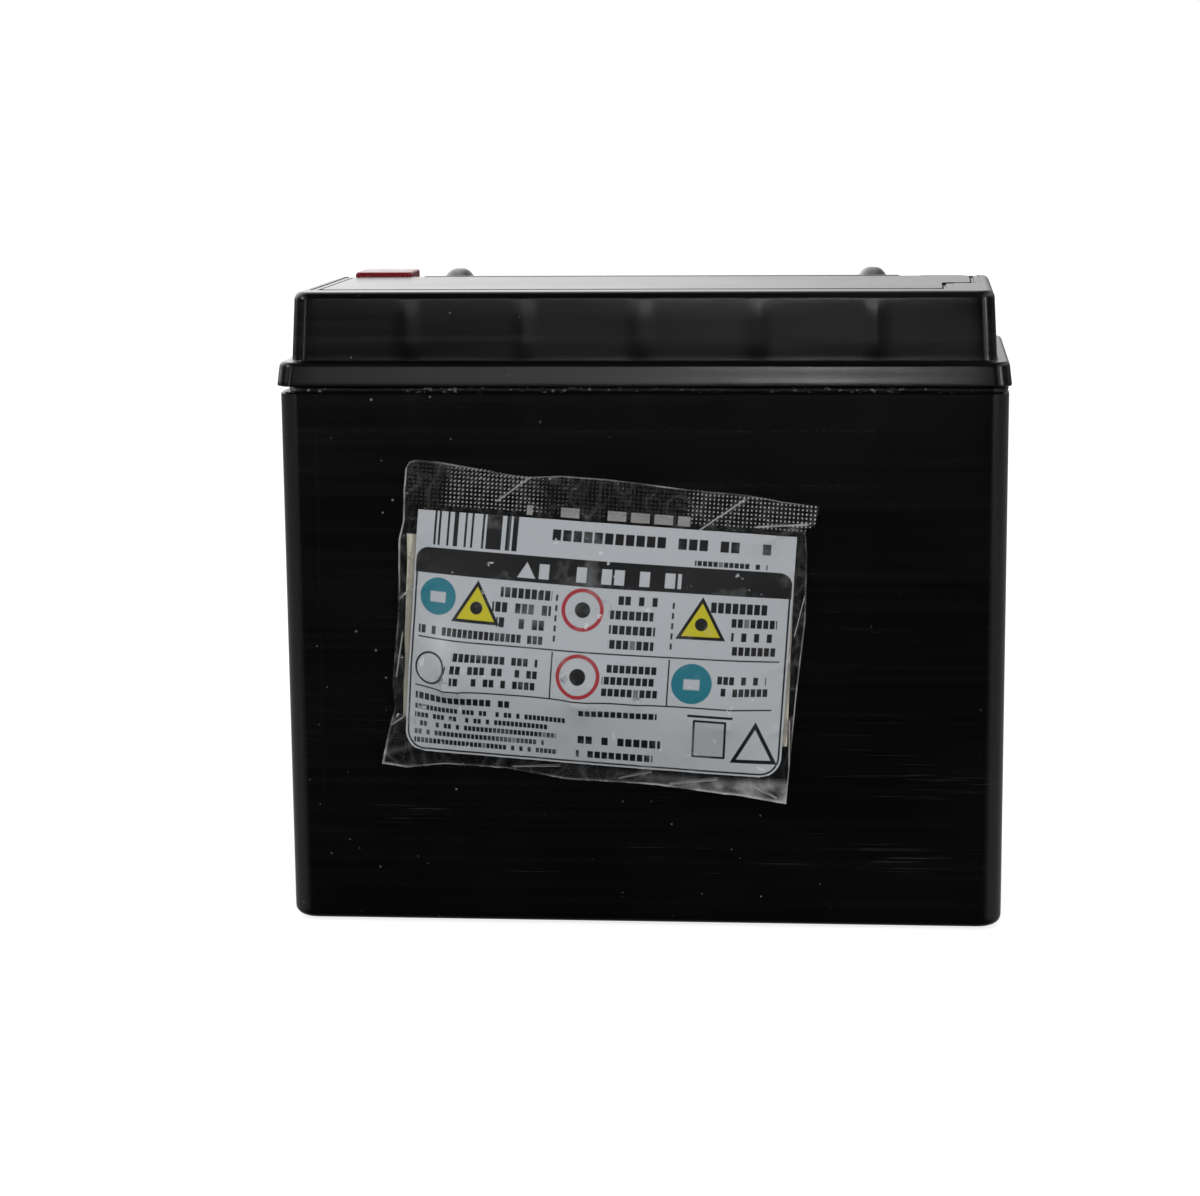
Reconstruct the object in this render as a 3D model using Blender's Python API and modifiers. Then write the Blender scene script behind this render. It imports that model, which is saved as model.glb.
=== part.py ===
"""Sealed lead-acid motorcycle battery: six cells in one container, a welded lid and bolt-on terminals.

Metres, +Z up. The origin is the middle of the container's flat bottom. +X runs along the battery,
-Y is the long face that carries the bag of fasteners, and both terminals stand along the +Y face.
"""
import math

import bmesh
import bpy
from mathutils import Matrix, Vector

# Driving dimensions
GAP = 0.0003                     # clearance between pieces that touch or rest on each other
REACH = 0.001                    # how far a cutter or a joined shape passes the face that it meets
OUTSIDE = 0.1                    # a distance beyond every side of the battery
RIM_LENGTH = 0.175
RIM_DEPTH = 0.087
RIM_BOTTOM = 0.1308
RIM_TOP = 0.1366
LID_TOP = 0.1532
GUARD_TOP = 0.1544

# Container
CASE_TOP_HALF = (0.0869, 0.0429)
CASE_BOTTOM_HALF = (0.0862, 0.0422)
CASE_CORNER = 0.005
CASE_TOP_EDGE = 0.0004
CASE_BOTTOM_EDGE = 0.002
SHOULDER = 0.1294                # top of the outer wall, under the rim
NECK_TOP = 0.1346                # top of the inner neck and of the partitions
NECK_HALF = (0.0847, 0.0407)
NECK_CORNER = 0.0035
NECK_ROOT = 0.004                # how far the neck's own block reaches down into the wall
FLOOR = 0.003
CELLS = 6
CELL_HALF_DEPTH = 0.0386
CELLS_LENGTH = 0.165             # from the first cell's outer wall to the last one's
PARTITION = 0.0015
CELL_PITCH = (CELLS_LENGTH + PARTITION) / CELLS
CELL_LENGTH = CELL_PITCH - PARTITION

# Lid
RIM_CORNER = 0.0042
RIM_TOP_EDGE = 0.0013
RIM_BOTTOM_EDGE = 0.0004
BLOCK_BOTTOM_HALF = (0.0840, 0.0418)
BLOCK_TOP_HALF = (0.0833, 0.0412)
BLOCK_CORNER = 0.004
BLOCK_TOP_EDGE = 0.0018
REAR_STRIP_TOP = 0.1516          # the strip between the terminals is lower than the top
REAR_STRIP_START = 0.0245
RECESS_FLOOR = 0.1385            # each terminal stands in a recess that is open to the side and the back
RECESS_INNER = 0.0603
RECESS_FRONT = 0.0222
RECESS_CORNER = 0.002
GUARD_X = 0.0537
GUARD_WIDTH = 0.0076
GUARD_FRONT = 0.0285
GUARD_BACK = 0.0408
GUARD_INSET = (0.0018, 0.0012)
GUARD_CORNER = 0.0016
GUARD_TOP_EDGE = 0.0010
CEILING = 0.1484                 # underside of the lid above the cells
HEAD_SPACE_END = 0.0800
HEAD_SPACE_FRONT = -0.0375
HEAD_SPACE_BACK = 0.0370
RECESS_WALL = 0.0035

# Vent cover plate and what it covers
PLATE_HALF_LENGTH = 0.0785
PLATE_FRONT = -0.031
PLATE_BACK = 0.0208
PLATE_NOTCH_X = 0.0715
PLATE_NOTCH_Y = -0.0085
PLATE_CORNER = 0.0020
PLATE_CLEARANCE = 0.0004
PLATE_SEAT = 0.1510
WELL_Y = 0.004
WELL_RADIUS = 0.0070
WELL_FLOOR = 0.1405
CUP_RADIUS = 0.0086
CUP_FLOOR = 0.0018
STUB_RADIUS = 0.0034
STUB_TOP = 0.1472
VENT_RADIUS = 0.0017
CAP_RADIUS = 0.0050
CAP_BOTTOM = 0.1413
CAP_TOP = 0.1486
CAP_CHAMFER = 0.0008
PAD_RADIUS = 0.0040              # a pad under the plate holds each valve cap down
PAD_BOTTOM = 0.1492

# Terminals
TERMINAL_X = 0.0715
TERMINAL_Y = 0.0315
TERMINAL_HALF = (0.0060, 0.0066)
TERMINAL_BOTTOM = 0.1389
TERMINAL_TOP = 0.1523
TERMINAL_CORNER = 0.0012
TERMINAL_TOP_EDGE = 0.0005
NUT_SLOT_Y = (-0.0053, 0.0040)   # from the terminal's middle
NUT_SLOT_Z = (0.1415, 0.1495)
BOLT_HOLE_RADIUS = 0.0032
SIDE_HOLE_Z = 0.1456
POST_RADIUS = 0.0045
BORE_RADIUS = 0.0070
SEAL_BOTTOM = 0.1350
COVER_TOP = 0.1542
COVER_BOTTOM = 0.1400
COVER_WALL = 0.0009
COVER_CLEARANCE = (0.0004, 0.0007)
COVER_CORNER = 0.0014
COVER_TOP_EDGE = 0.0006

# Plates, straps and links inside the cells
PLATE_THICKNESS = {"positive": 0.0020, "negative": 0.0016}
PLATE_BOTTOM = 0.0050
PLATE_TOP = 0.103
PLATE_HALF_DEPTH = 0.0365
PLATES_PER_CELL = 9
SEPARATOR_THICKNESS = 0.00065
SEPARATOR_TOP = 0.105
STRAP_HALF_LENGTH = 0.0122
STRAP_Y = (0.010, 0.036)
STRAP_BOTTOM = 0.1085
STRAP_TOP = 0.1140
LUG_Y = (0.017, 0.029)
LUG_TOP = 0.1128
LINK_Y = 0.023
LINK_Z = 0.123                   # middle of the partition's window
WINDOW_HALF = (0.0046, 0.0039)
LINK_PIN_HALF = (0.0015, 0.0042, 0.0034)
LINK_LEG_LENGTH = 0.004
LINK_LEG_HALF_DEPTH = 0.006
LINK_LEG_TOP = 0.1285

# Bag of fasteners on the front face: its own X runs across it, Z up it and -Y out of the battery's face
BAG_CENTRE = (-0.0102, -0.04375, 0.0717)
BAG_TILT = math.radians(6.2)     # clockwise seen from the front
BAG_HALF = (0.0488, 0.0365)
FILM = 0.0005
POUCH_X = (-0.0465, 0.0465)
POUCH_Z = (-0.0355, 0.0245)
POUCH_SLOPE = 0.0085
POUCH_BULGE = 0.0124
POUCH_ROOT = 0.0002              # how far the pouch reaches into the back film
MOUTH_LOW = (-0.035, -0.0035, 0.015)
MOUTH_HIGH = (0.035, -FILM, 0.030)
LEAFLET_LOW = (-0.0445, -0.0012, -0.0335)
LEAFLET_HIGH = (0.0445, -0.0008, 0.0205)
ADHESIVE_LOW = (-0.030, 0.0003, -0.0215)
ADHESIVE_HIGH = (0.030, 0.0006, 0.0185)
ACROSS_FLATS = 0.010
BOLT_HEAD_X = (-0.008, -0.004)
BOLT_SHANK_X = (-0.005, 0.008)
BOLT_RADIUS = 0.003
BOLT_PLACES = ((-0.027, -0.00655, -0.0135), (0.004, -0.00655, -0.0135))
NUT_HALF = (0.005, 0.0025, 0.005)
NUT_THREAD_RADIUS = 0.0025
NUT_PLACES = ((0.0, -0.0042, 0.0065), (0.029, -0.0042, -0.0135))

PARTS = "motorcycle_battery"
CUTTERS = "cutters"


def clear_scene():
    for item in list(bpy.data.objects):
        bpy.data.objects.remove(item)
    for name in (PARTS, CUTTERS):
        bpy.context.scene.collection.children.link(bpy.data.collections.new(name))


def material(name, colour, roughness, metallic=0.0, alpha=1.0):
    found = bpy.data.materials.get(name)
    if found:
        return found
    made = bpy.data.materials.new(name)
    made.use_nodes = True
    shader = made.node_tree.nodes["Principled BSDF"]
    shader.inputs["Base Color"].default_value = (*colour, 1.0)
    shader.inputs["Roughness"].default_value = roughness
    shader.inputs["Metallic"].default_value = metallic
    shader.inputs["Alpha"].default_value = alpha
    made.diffuse_color = (*colour, alpha)
    return made


def black_plastic():
    return material("black_polypropylene", (0.008, 0.008, 0.009), 0.38)


def lead():
    return material("lead", (0.33, 0.33, 0.35), 0.5, 1.0)


def steel():
    return material("zinc_plated_steel", (0.62, 0.62, 0.60), 0.32, 1.0)


def add_object(name, data, collection=PARTS):
    item = bpy.data.objects.new(name, data)
    bpy.data.collections[collection].objects.link(item)
    if collection == CUTTERS:
        item.hide_render = True
        item.display_type = "WIRE"
    return item


def object_from_bmesh(name, bm, collection=PARTS):
    data = bpy.data.meshes.new(name)
    bm.to_mesh(data)
    bm.free()
    return add_object(name, data, collection)


def finish_part(item, surface, sharp_angle=35):
    item.data.materials.clear()
    item.data.materials.append(surface)
    item.data.shade_smooth()
    item.data.set_sharp_from_angle(angle=math.radians(sharp_angle))
    return item


def baked(item):
    """Replaces the object's mesh with its evaluated one, so that copies can share it."""
    graph = bpy.context.evaluated_depsgraph_get()
    data = bpy.data.meshes.new_from_object(item.evaluated_get(graph), depsgraph=graph)
    item.modifiers.clear()
    item.data = data
    return item


def block(name, low, high, collection=PARTS, top_inset=(0.0, 0.0), corner=0.0, corner_steps=4,
          top_edge=0.0, bottom_edge=0.0, edge_steps=2):
    """A box, drawn in at the top by top_inset, with rounded corners and rounded top or bottom edges."""
    bm = bmesh.new()
    bmesh.ops.create_cube(bm, size=1.0)
    size = Vector(high) - Vector(low)
    middle = (Vector(high) + Vector(low)) / 2
    bmesh.ops.scale(bm, vec=size, verts=bm.verts)
    for vert in bm.verts:
        if vert.co.z > 0:
            vert.co.x -= top_inset[0] * math.copysign(1.0, vert.co.x)
            vert.co.y -= top_inset[1] * math.copysign(1.0, vert.co.y)
    bmesh.ops.translate(bm, vec=middle, verts=bm.verts)
    if corner:
        upright = [e for e in bm.edges if abs(e.verts[0].co.z - e.verts[1].co.z) > size.z / 2]
        bmesh.ops.bevel(bm, geom=upright, offset=corner, segments=corner_steps, profile=0.5, affect="EDGES")
    for radius, level in ((top_edge, high[2]), (bottom_edge, low[2])):
        if radius:
            ring = [e for e in bm.edges if all(abs(v.co.z - level) < 1e-7 for v in e.verts)]
            bmesh.ops.bevel(bm, geom=ring, offset=radius, segments=edge_steps, profile=0.5, affect="EDGES",
                            clamp_overlap=True)
    return object_from_bmesh(name, bm, collection)


def cylinder(name, centre, radius, bottom, top, sides=16, collection=CUTTERS):
    bm = bmesh.new()
    bmesh.ops.create_cone(
        bm, cap_ends=True, segments=sides, radius1=radius, radius2=radius, depth=top - bottom)
    bmesh.ops.translate(bm, vec=(centre[0], centre[1], (top + bottom) / 2), verts=bm.verts)
    return object_from_bmesh(name, bm, collection)


def turned(name, profile, location, closed=False, sides=16):
    """A profile of (radius, height) points, down its outer side, turned about the axis at location."""
    bm = bmesh.new()
    points = [bm.verts.new((radius, 0.0, height)) for radius, height in profile]
    for first, second in zip(points, points[1:] + (points[:1] if closed else [])):
        bm.edges.new((first, second))
    item = object_from_bmesh(name, bm)
    item.location = location
    screw = item.modifiers.new("turn", "SCREW")
    screw.steps = sides
    screw.render_steps = sides
    screw.use_merge_vertices = True
    screw.merge_threshold = 0.00001
    return item


def outline(name, points, low, high, collection=PARTS):
    """A flat outline of (x, y) points, from height low to height high, as a closed mesh."""
    curve = bpy.data.curves.new(name + "_outline", "CURVE")
    curve.dimensions = "2D"
    curve.fill_mode = "BOTH"
    curve.extrude = (high - low) / 2
    spline = curve.splines.new("POLY")
    spline.points.add(len(points) - 1)
    for target, (x, y) in zip(spline.points, points):
        target.co = (x, y, 0.0, 1.0)
    spline.use_cyclic_u = True
    drawn = add_object(name + "_outline", curve, collection)
    drawn.location.z = (high + low) / 2
    bpy.context.view_layer.update()
    graph = bpy.context.evaluated_depsgraph_get()
    data = bpy.data.meshes.new_from_object(drawn.evaluated_get(graph), depsgraph=graph)
    bm = bmesh.new()
    bm.from_mesh(data)
    bmesh.ops.remove_doubles(bm, verts=bm.verts, dist=0.000001)
    bmesh.ops.recalc_face_normals(bm, faces=bm.faces)
    bm.to_mesh(data)
    bm.free()
    item = add_object(name, data, collection)
    item.matrix_world = drawn.matrix_world
    bpy.data.objects.remove(drawn)
    return item


def rounded(points, radius, steps=3):
    """The outline with every right-angled corner replaced by an arc."""
    result = []
    count = len(points)
    for index, corner in enumerate(points):
        here = Vector(corner)
        before = (Vector(points[index - 1]) - here).normalized()
        after = (Vector(points[(index + 1) % count]) - here).normalized()
        centre = here + (before + after) * radius
        for step in range(steps + 1):
            turn = math.pi / 2 * step / steps
            result.append(tuple(centre - (after * math.cos(turn) + before * math.sin(turn)) * radius))
    return result


def boolean(target, other, operation):
    change = target.modifiers.new(operation.lower() + "_" + other.name, "BOOLEAN")
    change.operation = operation
    change.solver = "EXACT"
    change.object = other


def cut(target, *cutters):
    for cutter in cutters:
        boolean(target, cutter, "DIFFERENCE")


def join(target, *others):
    for other in others:
        boolean(target, other, "UNION")


def cell_centre(index):
    """X of the middle of a cell, counted from 1 at the positive end."""
    return (index - (CELLS + 1) / 2) * CELL_PITCH


def partition_centre(index):
    """X of the partition between a cell and the next one."""
    return cell_centre(index) + CELL_PITCH / 2


def strap_side(index):
    """+1 where a cell's positive strap is on the terminal side, -1 where it is on the other side."""
    return 1 if index % 2 else -1


def make_container():
    body = block(
        "container",
        (-CASE_BOTTOM_HALF[0], -CASE_BOTTOM_HALF[1], 0.0),
        (CASE_BOTTOM_HALF[0], CASE_BOTTOM_HALF[1], SHOULDER),
        top_inset=(CASE_BOTTOM_HALF[0] - CASE_TOP_HALF[0], CASE_BOTTOM_HALF[1] - CASE_TOP_HALF[1]),
        corner=CASE_CORNER, corner_steps=5, top_edge=CASE_TOP_EDGE, bottom_edge=CASE_BOTTOM_EDGE)
    join(body, block(
        "container_neck",
        (-NECK_HALF[0], -NECK_HALF[1], SHOULDER - NECK_ROOT), (NECK_HALF[0], NECK_HALF[1], NECK_TOP),
        CUTTERS, corner=NECK_CORNER, corner_steps=3))
    for index in range(1, CELLS + 1):
        middle = cell_centre(index)
        cut(body, block(
            f"cell_space_{index}",
            (middle - CELL_LENGTH / 2, -CELL_HALF_DEPTH, FLOOR),
            (middle + CELL_LENGTH / 2, CELL_HALF_DEPTH, NECK_TOP + REACH), CUTTERS))
    for index in range(1, CELLS):
        side = -strap_side(index) * LINK_Y
        across = partition_centre(index)
        cut(body, block(
            f"partition_window_{index}",
            (across - PARTITION, side - WINDOW_HALF[0], LINK_Z - WINDOW_HALF[1]),
            (across + PARTITION, side + WINDOW_HALF[0], LINK_Z + WINDOW_HALF[1]), CUTTERS))
    finish_part(body, black_plastic())


def plate_outline(inset):
    """The notched outline of the vent cover plate, drawn in on every side by inset, with round corners."""
    left, right = -PLATE_HALF_LENGTH + inset, PLATE_HALF_LENGTH - inset
    front, back = PLATE_FRONT + inset, PLATE_BACK - inset
    notch_x, notch_y = PLATE_NOTCH_X - inset, PLATE_NOTCH_Y + inset
    corners = [
        (left, front), (notch_x, front), (notch_x, notch_y), (right, notch_y), (right, back), (left, back)]
    return rounded(corners, PLATE_CORNER - inset)


def lid_outside():
    """The rim and raised block in one, with the lower rear strip, guard ribs and terminal recesses."""
    lid = block(
        "lid", (-RIM_LENGTH / 2, -RIM_DEPTH / 2, RIM_BOTTOM), (RIM_LENGTH / 2, RIM_DEPTH / 2, RIM_TOP),
        corner=RIM_CORNER, top_edge=RIM_TOP_EDGE, bottom_edge=RIM_BOTTOM_EDGE)
    join(lid, block(
        "lid_block",
        (-BLOCK_BOTTOM_HALF[0], -BLOCK_BOTTOM_HALF[1], (RIM_BOTTOM + RIM_TOP) / 2),
        (BLOCK_BOTTOM_HALF[0], BLOCK_BOTTOM_HALF[1], LID_TOP), CUTTERS,
        top_inset=(BLOCK_BOTTOM_HALF[0] - BLOCK_TOP_HALF[0], BLOCK_BOTTOM_HALF[1] - BLOCK_TOP_HALF[1]),
        corner=BLOCK_CORNER, top_edge=BLOCK_TOP_EDGE, edge_steps=3))
    cut(lid, block(
        "rear_strip", (-OUTSIDE, REAR_STRIP_START, REAR_STRIP_TOP), (OUTSIDE, OUTSIDE, GUARD_TOP), CUTTERS))
    for name, side in (("left", -1), ("right", 1)):
        join(lid, block(
            f"{name}_guard",
            (side * GUARD_X - GUARD_WIDTH / 2, GUARD_FRONT, REAR_STRIP_TOP - REACH),
            (side * GUARD_X + GUARD_WIDTH / 2, GUARD_BACK, GUARD_TOP), CUTTERS,
            top_inset=GUARD_INSET, corner=GUARD_CORNER, corner_steps=2, top_edge=GUARD_TOP_EDGE))
    for name, side in (("left", -1), ("right", 1)):
        low_x, high_x = sorted((side * RECESS_INNER, side * OUTSIDE))
        cut(lid, block(
            f"{name}_terminal_recess",
            (low_x, RECESS_FRONT, RECESS_FLOOR), (high_x, OUTSIDE, LID_TOP + REACH),
            CUTTERS, corner=RECESS_CORNER, corner_steps=2))
    return lid


def make_lid():
    lid = lid_outside()
    cut(lid, outline("plate_recess", plate_outline(0.0), PLATE_SEAT, LID_TOP + REACH, CUTTERS))
    cut(lid, block(
        "neck_space",
        (-NECK_HALF[0] - GAP, -NECK_HALF[1] - GAP, RIM_BOTTOM - REACH),
        (NECK_HALF[0] + GAP, NECK_HALF[1] + GAP, NECK_TOP + GAP), CUTTERS,
        corner=NECK_CORNER + GAP, corner_steps=3))
    for index in range(1, CELLS + 1):
        middle = cell_centre(index)
        beside_recess = index in (1, CELLS)
        low_x = max(middle - CELL_LENGTH / 2, -HEAD_SPACE_END)
        high_x = min(middle + CELL_LENGTH / 2, HEAD_SPACE_END)
        back = RECESS_FRONT - RECESS_WALL if beside_recess else HEAD_SPACE_BACK
        cut(lid, block(
            f"head_space_{index}", (low_x, HEAD_SPACE_FRONT, NECK_TOP), (high_x, back, CEILING), CUTTERS))
    for index in range(1, CELLS + 1):
        centre = (cell_centre(index), WELL_Y)
        join(lid, cylinder(f"cup_{index}", centre, CUP_RADIUS, WELL_FLOOR - CUP_FLOOR, CEILING + REACH))
        cut(lid, cylinder(f"well_{index}", centre, WELL_RADIUS, WELL_FLOOR, PLATE_SEAT + REACH))
        join(lid, cylinder(f"stub_{index}", centre, STUB_RADIUS, WELL_FLOOR - REACH, STUB_TOP))
        cut(lid, cylinder(
            f"vent_{index}", centre, VENT_RADIUS, WELL_FLOOR - CUP_FLOOR - REACH, STUB_TOP + REACH, 12))
    for name, side in (("left", -1), ("right", 1)):
        cut(lid, cylinder(
            f"{name}_terminal_bore", (side * TERMINAL_X, TERMINAL_Y), BORE_RADIUS,
            NECK_TOP - REACH, RECESS_FLOOR + REACH, 20))
    finish_part(lid, black_plastic())


def make_vent_cover_plate():
    plate = outline("vent_cover_plate", plate_outline(PLATE_CLEARANCE), PLATE_SEAT + GAP, LID_TOP)
    for index in range(1, CELLS + 1):
        centre = (cell_centre(index), WELL_Y)
        join(plate, cylinder(f"valve_pad_{index}", centre, PAD_RADIUS, PAD_BOTTOM, PLATE_SEAT + REACH, 12))
    finish_part(plate, black_plastic())


def make_valve_caps():
    """Rubber caps over the vent stubs. Gas from a cell lifts the cap's skirt and escapes."""
    inner_radius = STUB_RADIUS + GAP
    inner_top = STUB_TOP + GAP
    profile = [
        (0.0, CAP_TOP), (CAP_RADIUS - CAP_CHAMFER, CAP_TOP), (CAP_RADIUS, CAP_TOP - CAP_CHAMFER),
        (CAP_RADIUS, CAP_BOTTOM), (inner_radius, CAP_BOTTOM), (inner_radius, inner_top), (0.0, inner_top)]
    first = turned("valve_cap_1", profile, (cell_centre(1), WELL_Y, 0.0))
    finish_part(baked(first), material("valve_rubber", (0.02, 0.02, 0.02), 0.75))
    for index in range(2, CELLS + 1):
        copy = add_object(f"valve_cap_{index}", first.data)
        copy.location = (cell_centre(index), WELL_Y, 0.0)


def make_terminals():
    """Slotted blocks for a square nut, with a hole on top and at the back, each cast in one with its post."""
    across, deep = TERMINAL_HALF
    terminal = block(
        "negative_terminal", (-across, -deep, TERMINAL_BOTTOM), (across, deep, TERMINAL_TOP),
        corner=TERMINAL_CORNER, corner_steps=2, top_edge=TERMINAL_TOP_EDGE, edge_steps=1)
    nut_slot = block(
        "nut_slot",
        (-OUTSIDE, NUT_SLOT_Y[0], NUT_SLOT_Z[0]), (OUTSIDE, NUT_SLOT_Y[1], NUT_SLOT_Z[1]), CUTTERS)
    top_hole = cylinder("top_hole", (0.0, 0.0), BOLT_HOLE_RADIUS, NUT_SLOT_Z[1] - REACH, TERMINAL_TOP + REACH)
    side_hole = cylinder("side_hole", (0.0, 0.0), BOLT_HOLE_RADIUS, -deep / 2, deep / 2)
    side_hole.rotation_euler.x = math.pi / 2
    side_hole.location = (0.0, deep, SIDE_HOLE_Z)
    cut(terminal, nut_slot, top_hole, side_hole)
    join(terminal, cylinder("post", (0.0, 0.0), POST_RADIUS, STRAP_TOP + GAP, TERMINAL_BOTTOM + REACH, 20))
    finish_part(baked(terminal), lead())
    terminal.location = (TERMINAL_X, TERMINAL_Y, 0.0)
    other = add_object("positive_terminal", terminal.data)
    other.location = (-TERMINAL_X, TERMINAL_Y, 0.0)


def make_terminal_seals():
    """Poured epoxy round each post, red at the positive one."""
    inner, outer = POST_RADIUS + GAP, BORE_RADIUS - GAP
    profile = [(outer, RECESS_FLOOR), (outer, SEAL_BOTTOM), (inner, SEAL_BOTTOM), (inner, RECESS_FLOOR)]
    first = turned("positive_terminal_seal", profile, (-TERMINAL_X, TERMINAL_Y, 0.0), closed=True, sides=20)
    finish_part(baked(first), material("red_epoxy", (0.35, 0.02, 0.02), 0.3))
    second = add_object("negative_terminal_seal", first.data.copy())
    second.location = (TERMINAL_X, TERMINAL_Y, 0.0)
    finish_part(second, material("black_epoxy", (0.01, 0.01, 0.012), 0.3))


def make_positive_terminal_cover():
    """A red cap whose origin is at the middle of its lower rim, on its lift axis."""
    inner = [half + clearance for half, clearance in zip(TERMINAL_HALF, COVER_CLEARANCE)]
    outer = [half + COVER_WALL for half in inner]
    cap = block(
        "positive_terminal_cover",
        (-outer[0], -outer[1], 0.0), (outer[0], outer[1], COVER_TOP - COVER_BOTTOM),
        corner=COVER_CORNER, corner_steps=3, top_edge=COVER_TOP_EDGE)
    hollow = block(
        "cover_hollow",
        (-inner[0], -inner[1], -REACH), (inner[0], inner[1], TERMINAL_TOP + GAP - COVER_BOTTOM), CUTTERS,
        corner=COVER_CORNER / 2, corner_steps=1)
    for item in (cap, hollow):
        item.location = (-TERMINAL_X, TERMINAL_Y, COVER_BOTTOM)
    cut(cap, hollow)
    finish_part(cap, material("red_cover", (0.45, 0.02, 0.025), 0.35))


def plate_positions(kind):
    """X of each plate of one kind about the middle of its cell: negative plates stand at both ends."""
    clear = CELL_LENGTH - 2 * GAP
    counts = {"positive": PLATES_PER_CELL // 2, "negative": PLATES_PER_CELL - PLATES_PER_CELL // 2}
    metal = sum(PLATE_THICKNESS[name] * counts[name] for name in counts)
    space = (clear - metal) / (PLATES_PER_CELL - 1)
    edge = -clear / 2
    places = {"positive": [], "negative": []}
    for index in range(PLATES_PER_CELL):
        name = "positive" if index % 2 else "negative"
        places[name].append(edge + PLATE_THICKNESS[name] / 2)
        edge += PLATE_THICKNESS[name] + space
    return places[kind]


def make_plate_groups(kind, colour):
    """Plates hanging from one strap, a group for each cell. Every other group is turned round."""
    side = 1 if kind == "positive" else -1
    half = PLATE_THICKNESS[kind] / 2
    strap_low, strap_high = sorted(side * edge for edge in STRAP_Y)
    lug_low, lug_high = sorted(side * edge for edge in LUG_Y)
    group = block(
        f"{kind}_plates_1",
        (-STRAP_HALF_LENGTH, strap_low, STRAP_BOTTOM), (STRAP_HALF_LENGTH, strap_high, STRAP_TOP))
    for index, place in enumerate(plate_positions(kind)):
        lug = block(
            f"{kind}_lug_{index}", (place - half, lug_low, PLATE_TOP - REACH),
            (place + half, lug_high, LUG_TOP), CUTTERS)
        sheet = block(
            f"{kind}_sheet_{index}", (place - half, -PLATE_HALF_DEPTH, PLATE_BOTTOM),
            (place + half, PLATE_HALF_DEPTH, PLATE_TOP), CUTTERS)
        join(group, lug, sheet)
    finish_part(baked(group), material(f"{kind}_plate_lead", colour, 0.75, 0.3))
    for index in range(1, CELLS + 1):
        item = group if index == 1 else add_object(f"{kind}_plates_{index}", group.data)
        item.location.x = cell_centre(index)
        item.rotation_euler.z = 0.0 if strap_side(index) > 0 else math.pi


def make_separators():
    """One glass-mat sheet for each cell, folded to and fro between the plates."""
    sides = []
    for kind in ("positive", "negative"):
        half = PLATE_THICKNESS[kind] / 2
        sides += [(place - half, place + half) for place in plate_positions(kind)]
    sides.sort()
    reach = PLATE_HALF_DEPTH + GAP + SEPARATOR_THICKNESS / 2
    route = []
    for index, (left, right) in enumerate(zip(sides, sides[1:])):
        middle = (left[1] + right[0]) / 2
        start = -reach if index % 2 == 0 else reach
        route += [(middle, start), (middle, -start)]
    bottom = FLOOR + GAP
    bm = bmesh.new()
    points = [bm.verts.new((x, y, bottom)) for x, y in route]
    line = [bm.edges.new(pair) for pair in zip(points, points[1:])]
    grown = bmesh.ops.extrude_edge_only(bm, edges=line)["geom"]
    raised = [item for item in grown if isinstance(item, bmesh.types.BMVert)]
    bmesh.ops.translate(bm, vec=(0.0, 0.0, SEPARATOR_TOP - bottom), verts=raised)
    first = object_from_bmesh("separator_1", bm)
    shell = first.modifiers.new("thickness", "SOLIDIFY")
    shell.thickness = SEPARATOR_THICKNESS
    shell.offset = 0.0
    shell.use_even_offset = True
    finish_part(baked(first), material("glass_mat", (0.85, 0.86, 0.84), 0.95))
    for index in range(1, CELLS + 1):
        item = first if index == 1 else add_object(f"separator_{index}", first.data)
        item.location.x = cell_centre(index)


def make_intercell_links():
    """Two legs standing on neighbouring straps, joined by a pin through the partition."""
    across, deep, tall = LINK_PIN_HALF
    first = block("intercell_link_1", (-across, -deep, LINK_Z - tall), (across, deep, LINK_Z + tall))
    face = PARTITION / 2 + GAP
    for name, side in (("left", -1), ("right", 1)):
        low_x, high_x = sorted((side * face, side * (face + LINK_LEG_LENGTH)))
        join(first, block(
            f"{name}_link_leg", (low_x, -LINK_LEG_HALF_DEPTH, STRAP_TOP + GAP),
            (high_x, LINK_LEG_HALF_DEPTH, LINK_LEG_TOP), CUTTERS))
    finish_part(baked(first), lead())
    for index in range(1, CELLS):
        item = first if index == 1 else add_object(f"intercell_link_{index}", first.data)
        item.location = (partition_centre(index), -strap_side(index) * LINK_Y, 0.0)


def place_on_bag(item):
    """Moves and tilts a piece, made about the bag's own middle, to where the bag lies."""
    item.location = BAG_CENTRE
    item.rotation_euler.y = BAG_TILT


def pouch_block(name, inset, near, far):
    """A blunt pyramid standing out of the bag's face, from depth near to depth far, drawn in by inset."""
    bm = bmesh.new()
    bmesh.ops.create_cube(bm, size=1.0)
    for vert in bm.verts:
        is_front = vert.co.y < 0
        pull = inset + (POUCH_SLOPE if is_front else 0.0)
        vert.co.x = POUCH_X[0] + pull if vert.co.x < 0 else POUCH_X[1] - pull
        vert.co.z = POUCH_Z[0] + pull if vert.co.z < 0 else POUCH_Z[1] - pull
        vert.co.y = -far if is_front else -near
    return object_from_bmesh(name, bm, CUTTERS)


def make_fastener_bag():
    """Flat back film with a pouch standing out of it. The pouch's mouth is a slit along its top."""
    bag = block("fastener_bag", (-BAG_HALF[0], -FILM, -BAG_HALF[1]), (BAG_HALF[0], 0.0, BAG_HALF[1]))
    pouch = pouch_block("pouch", 0.0, POUCH_ROOT, POUCH_BULGE)
    space = pouch_block("pouch_space", FILM, FILM, POUCH_BULGE - FILM)
    mouth = block("mouth", MOUTH_LOW, MOUTH_HIGH, CUTTERS)
    for item in (bag, pouch, space, mouth):
        place_on_bag(item)
    join(bag, pouch)
    cut(bag, space, mouth)
    finish_part(bag, material("clear_film", (0.75, 0.77, 0.78), 0.15, 0.0, 0.35))


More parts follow.
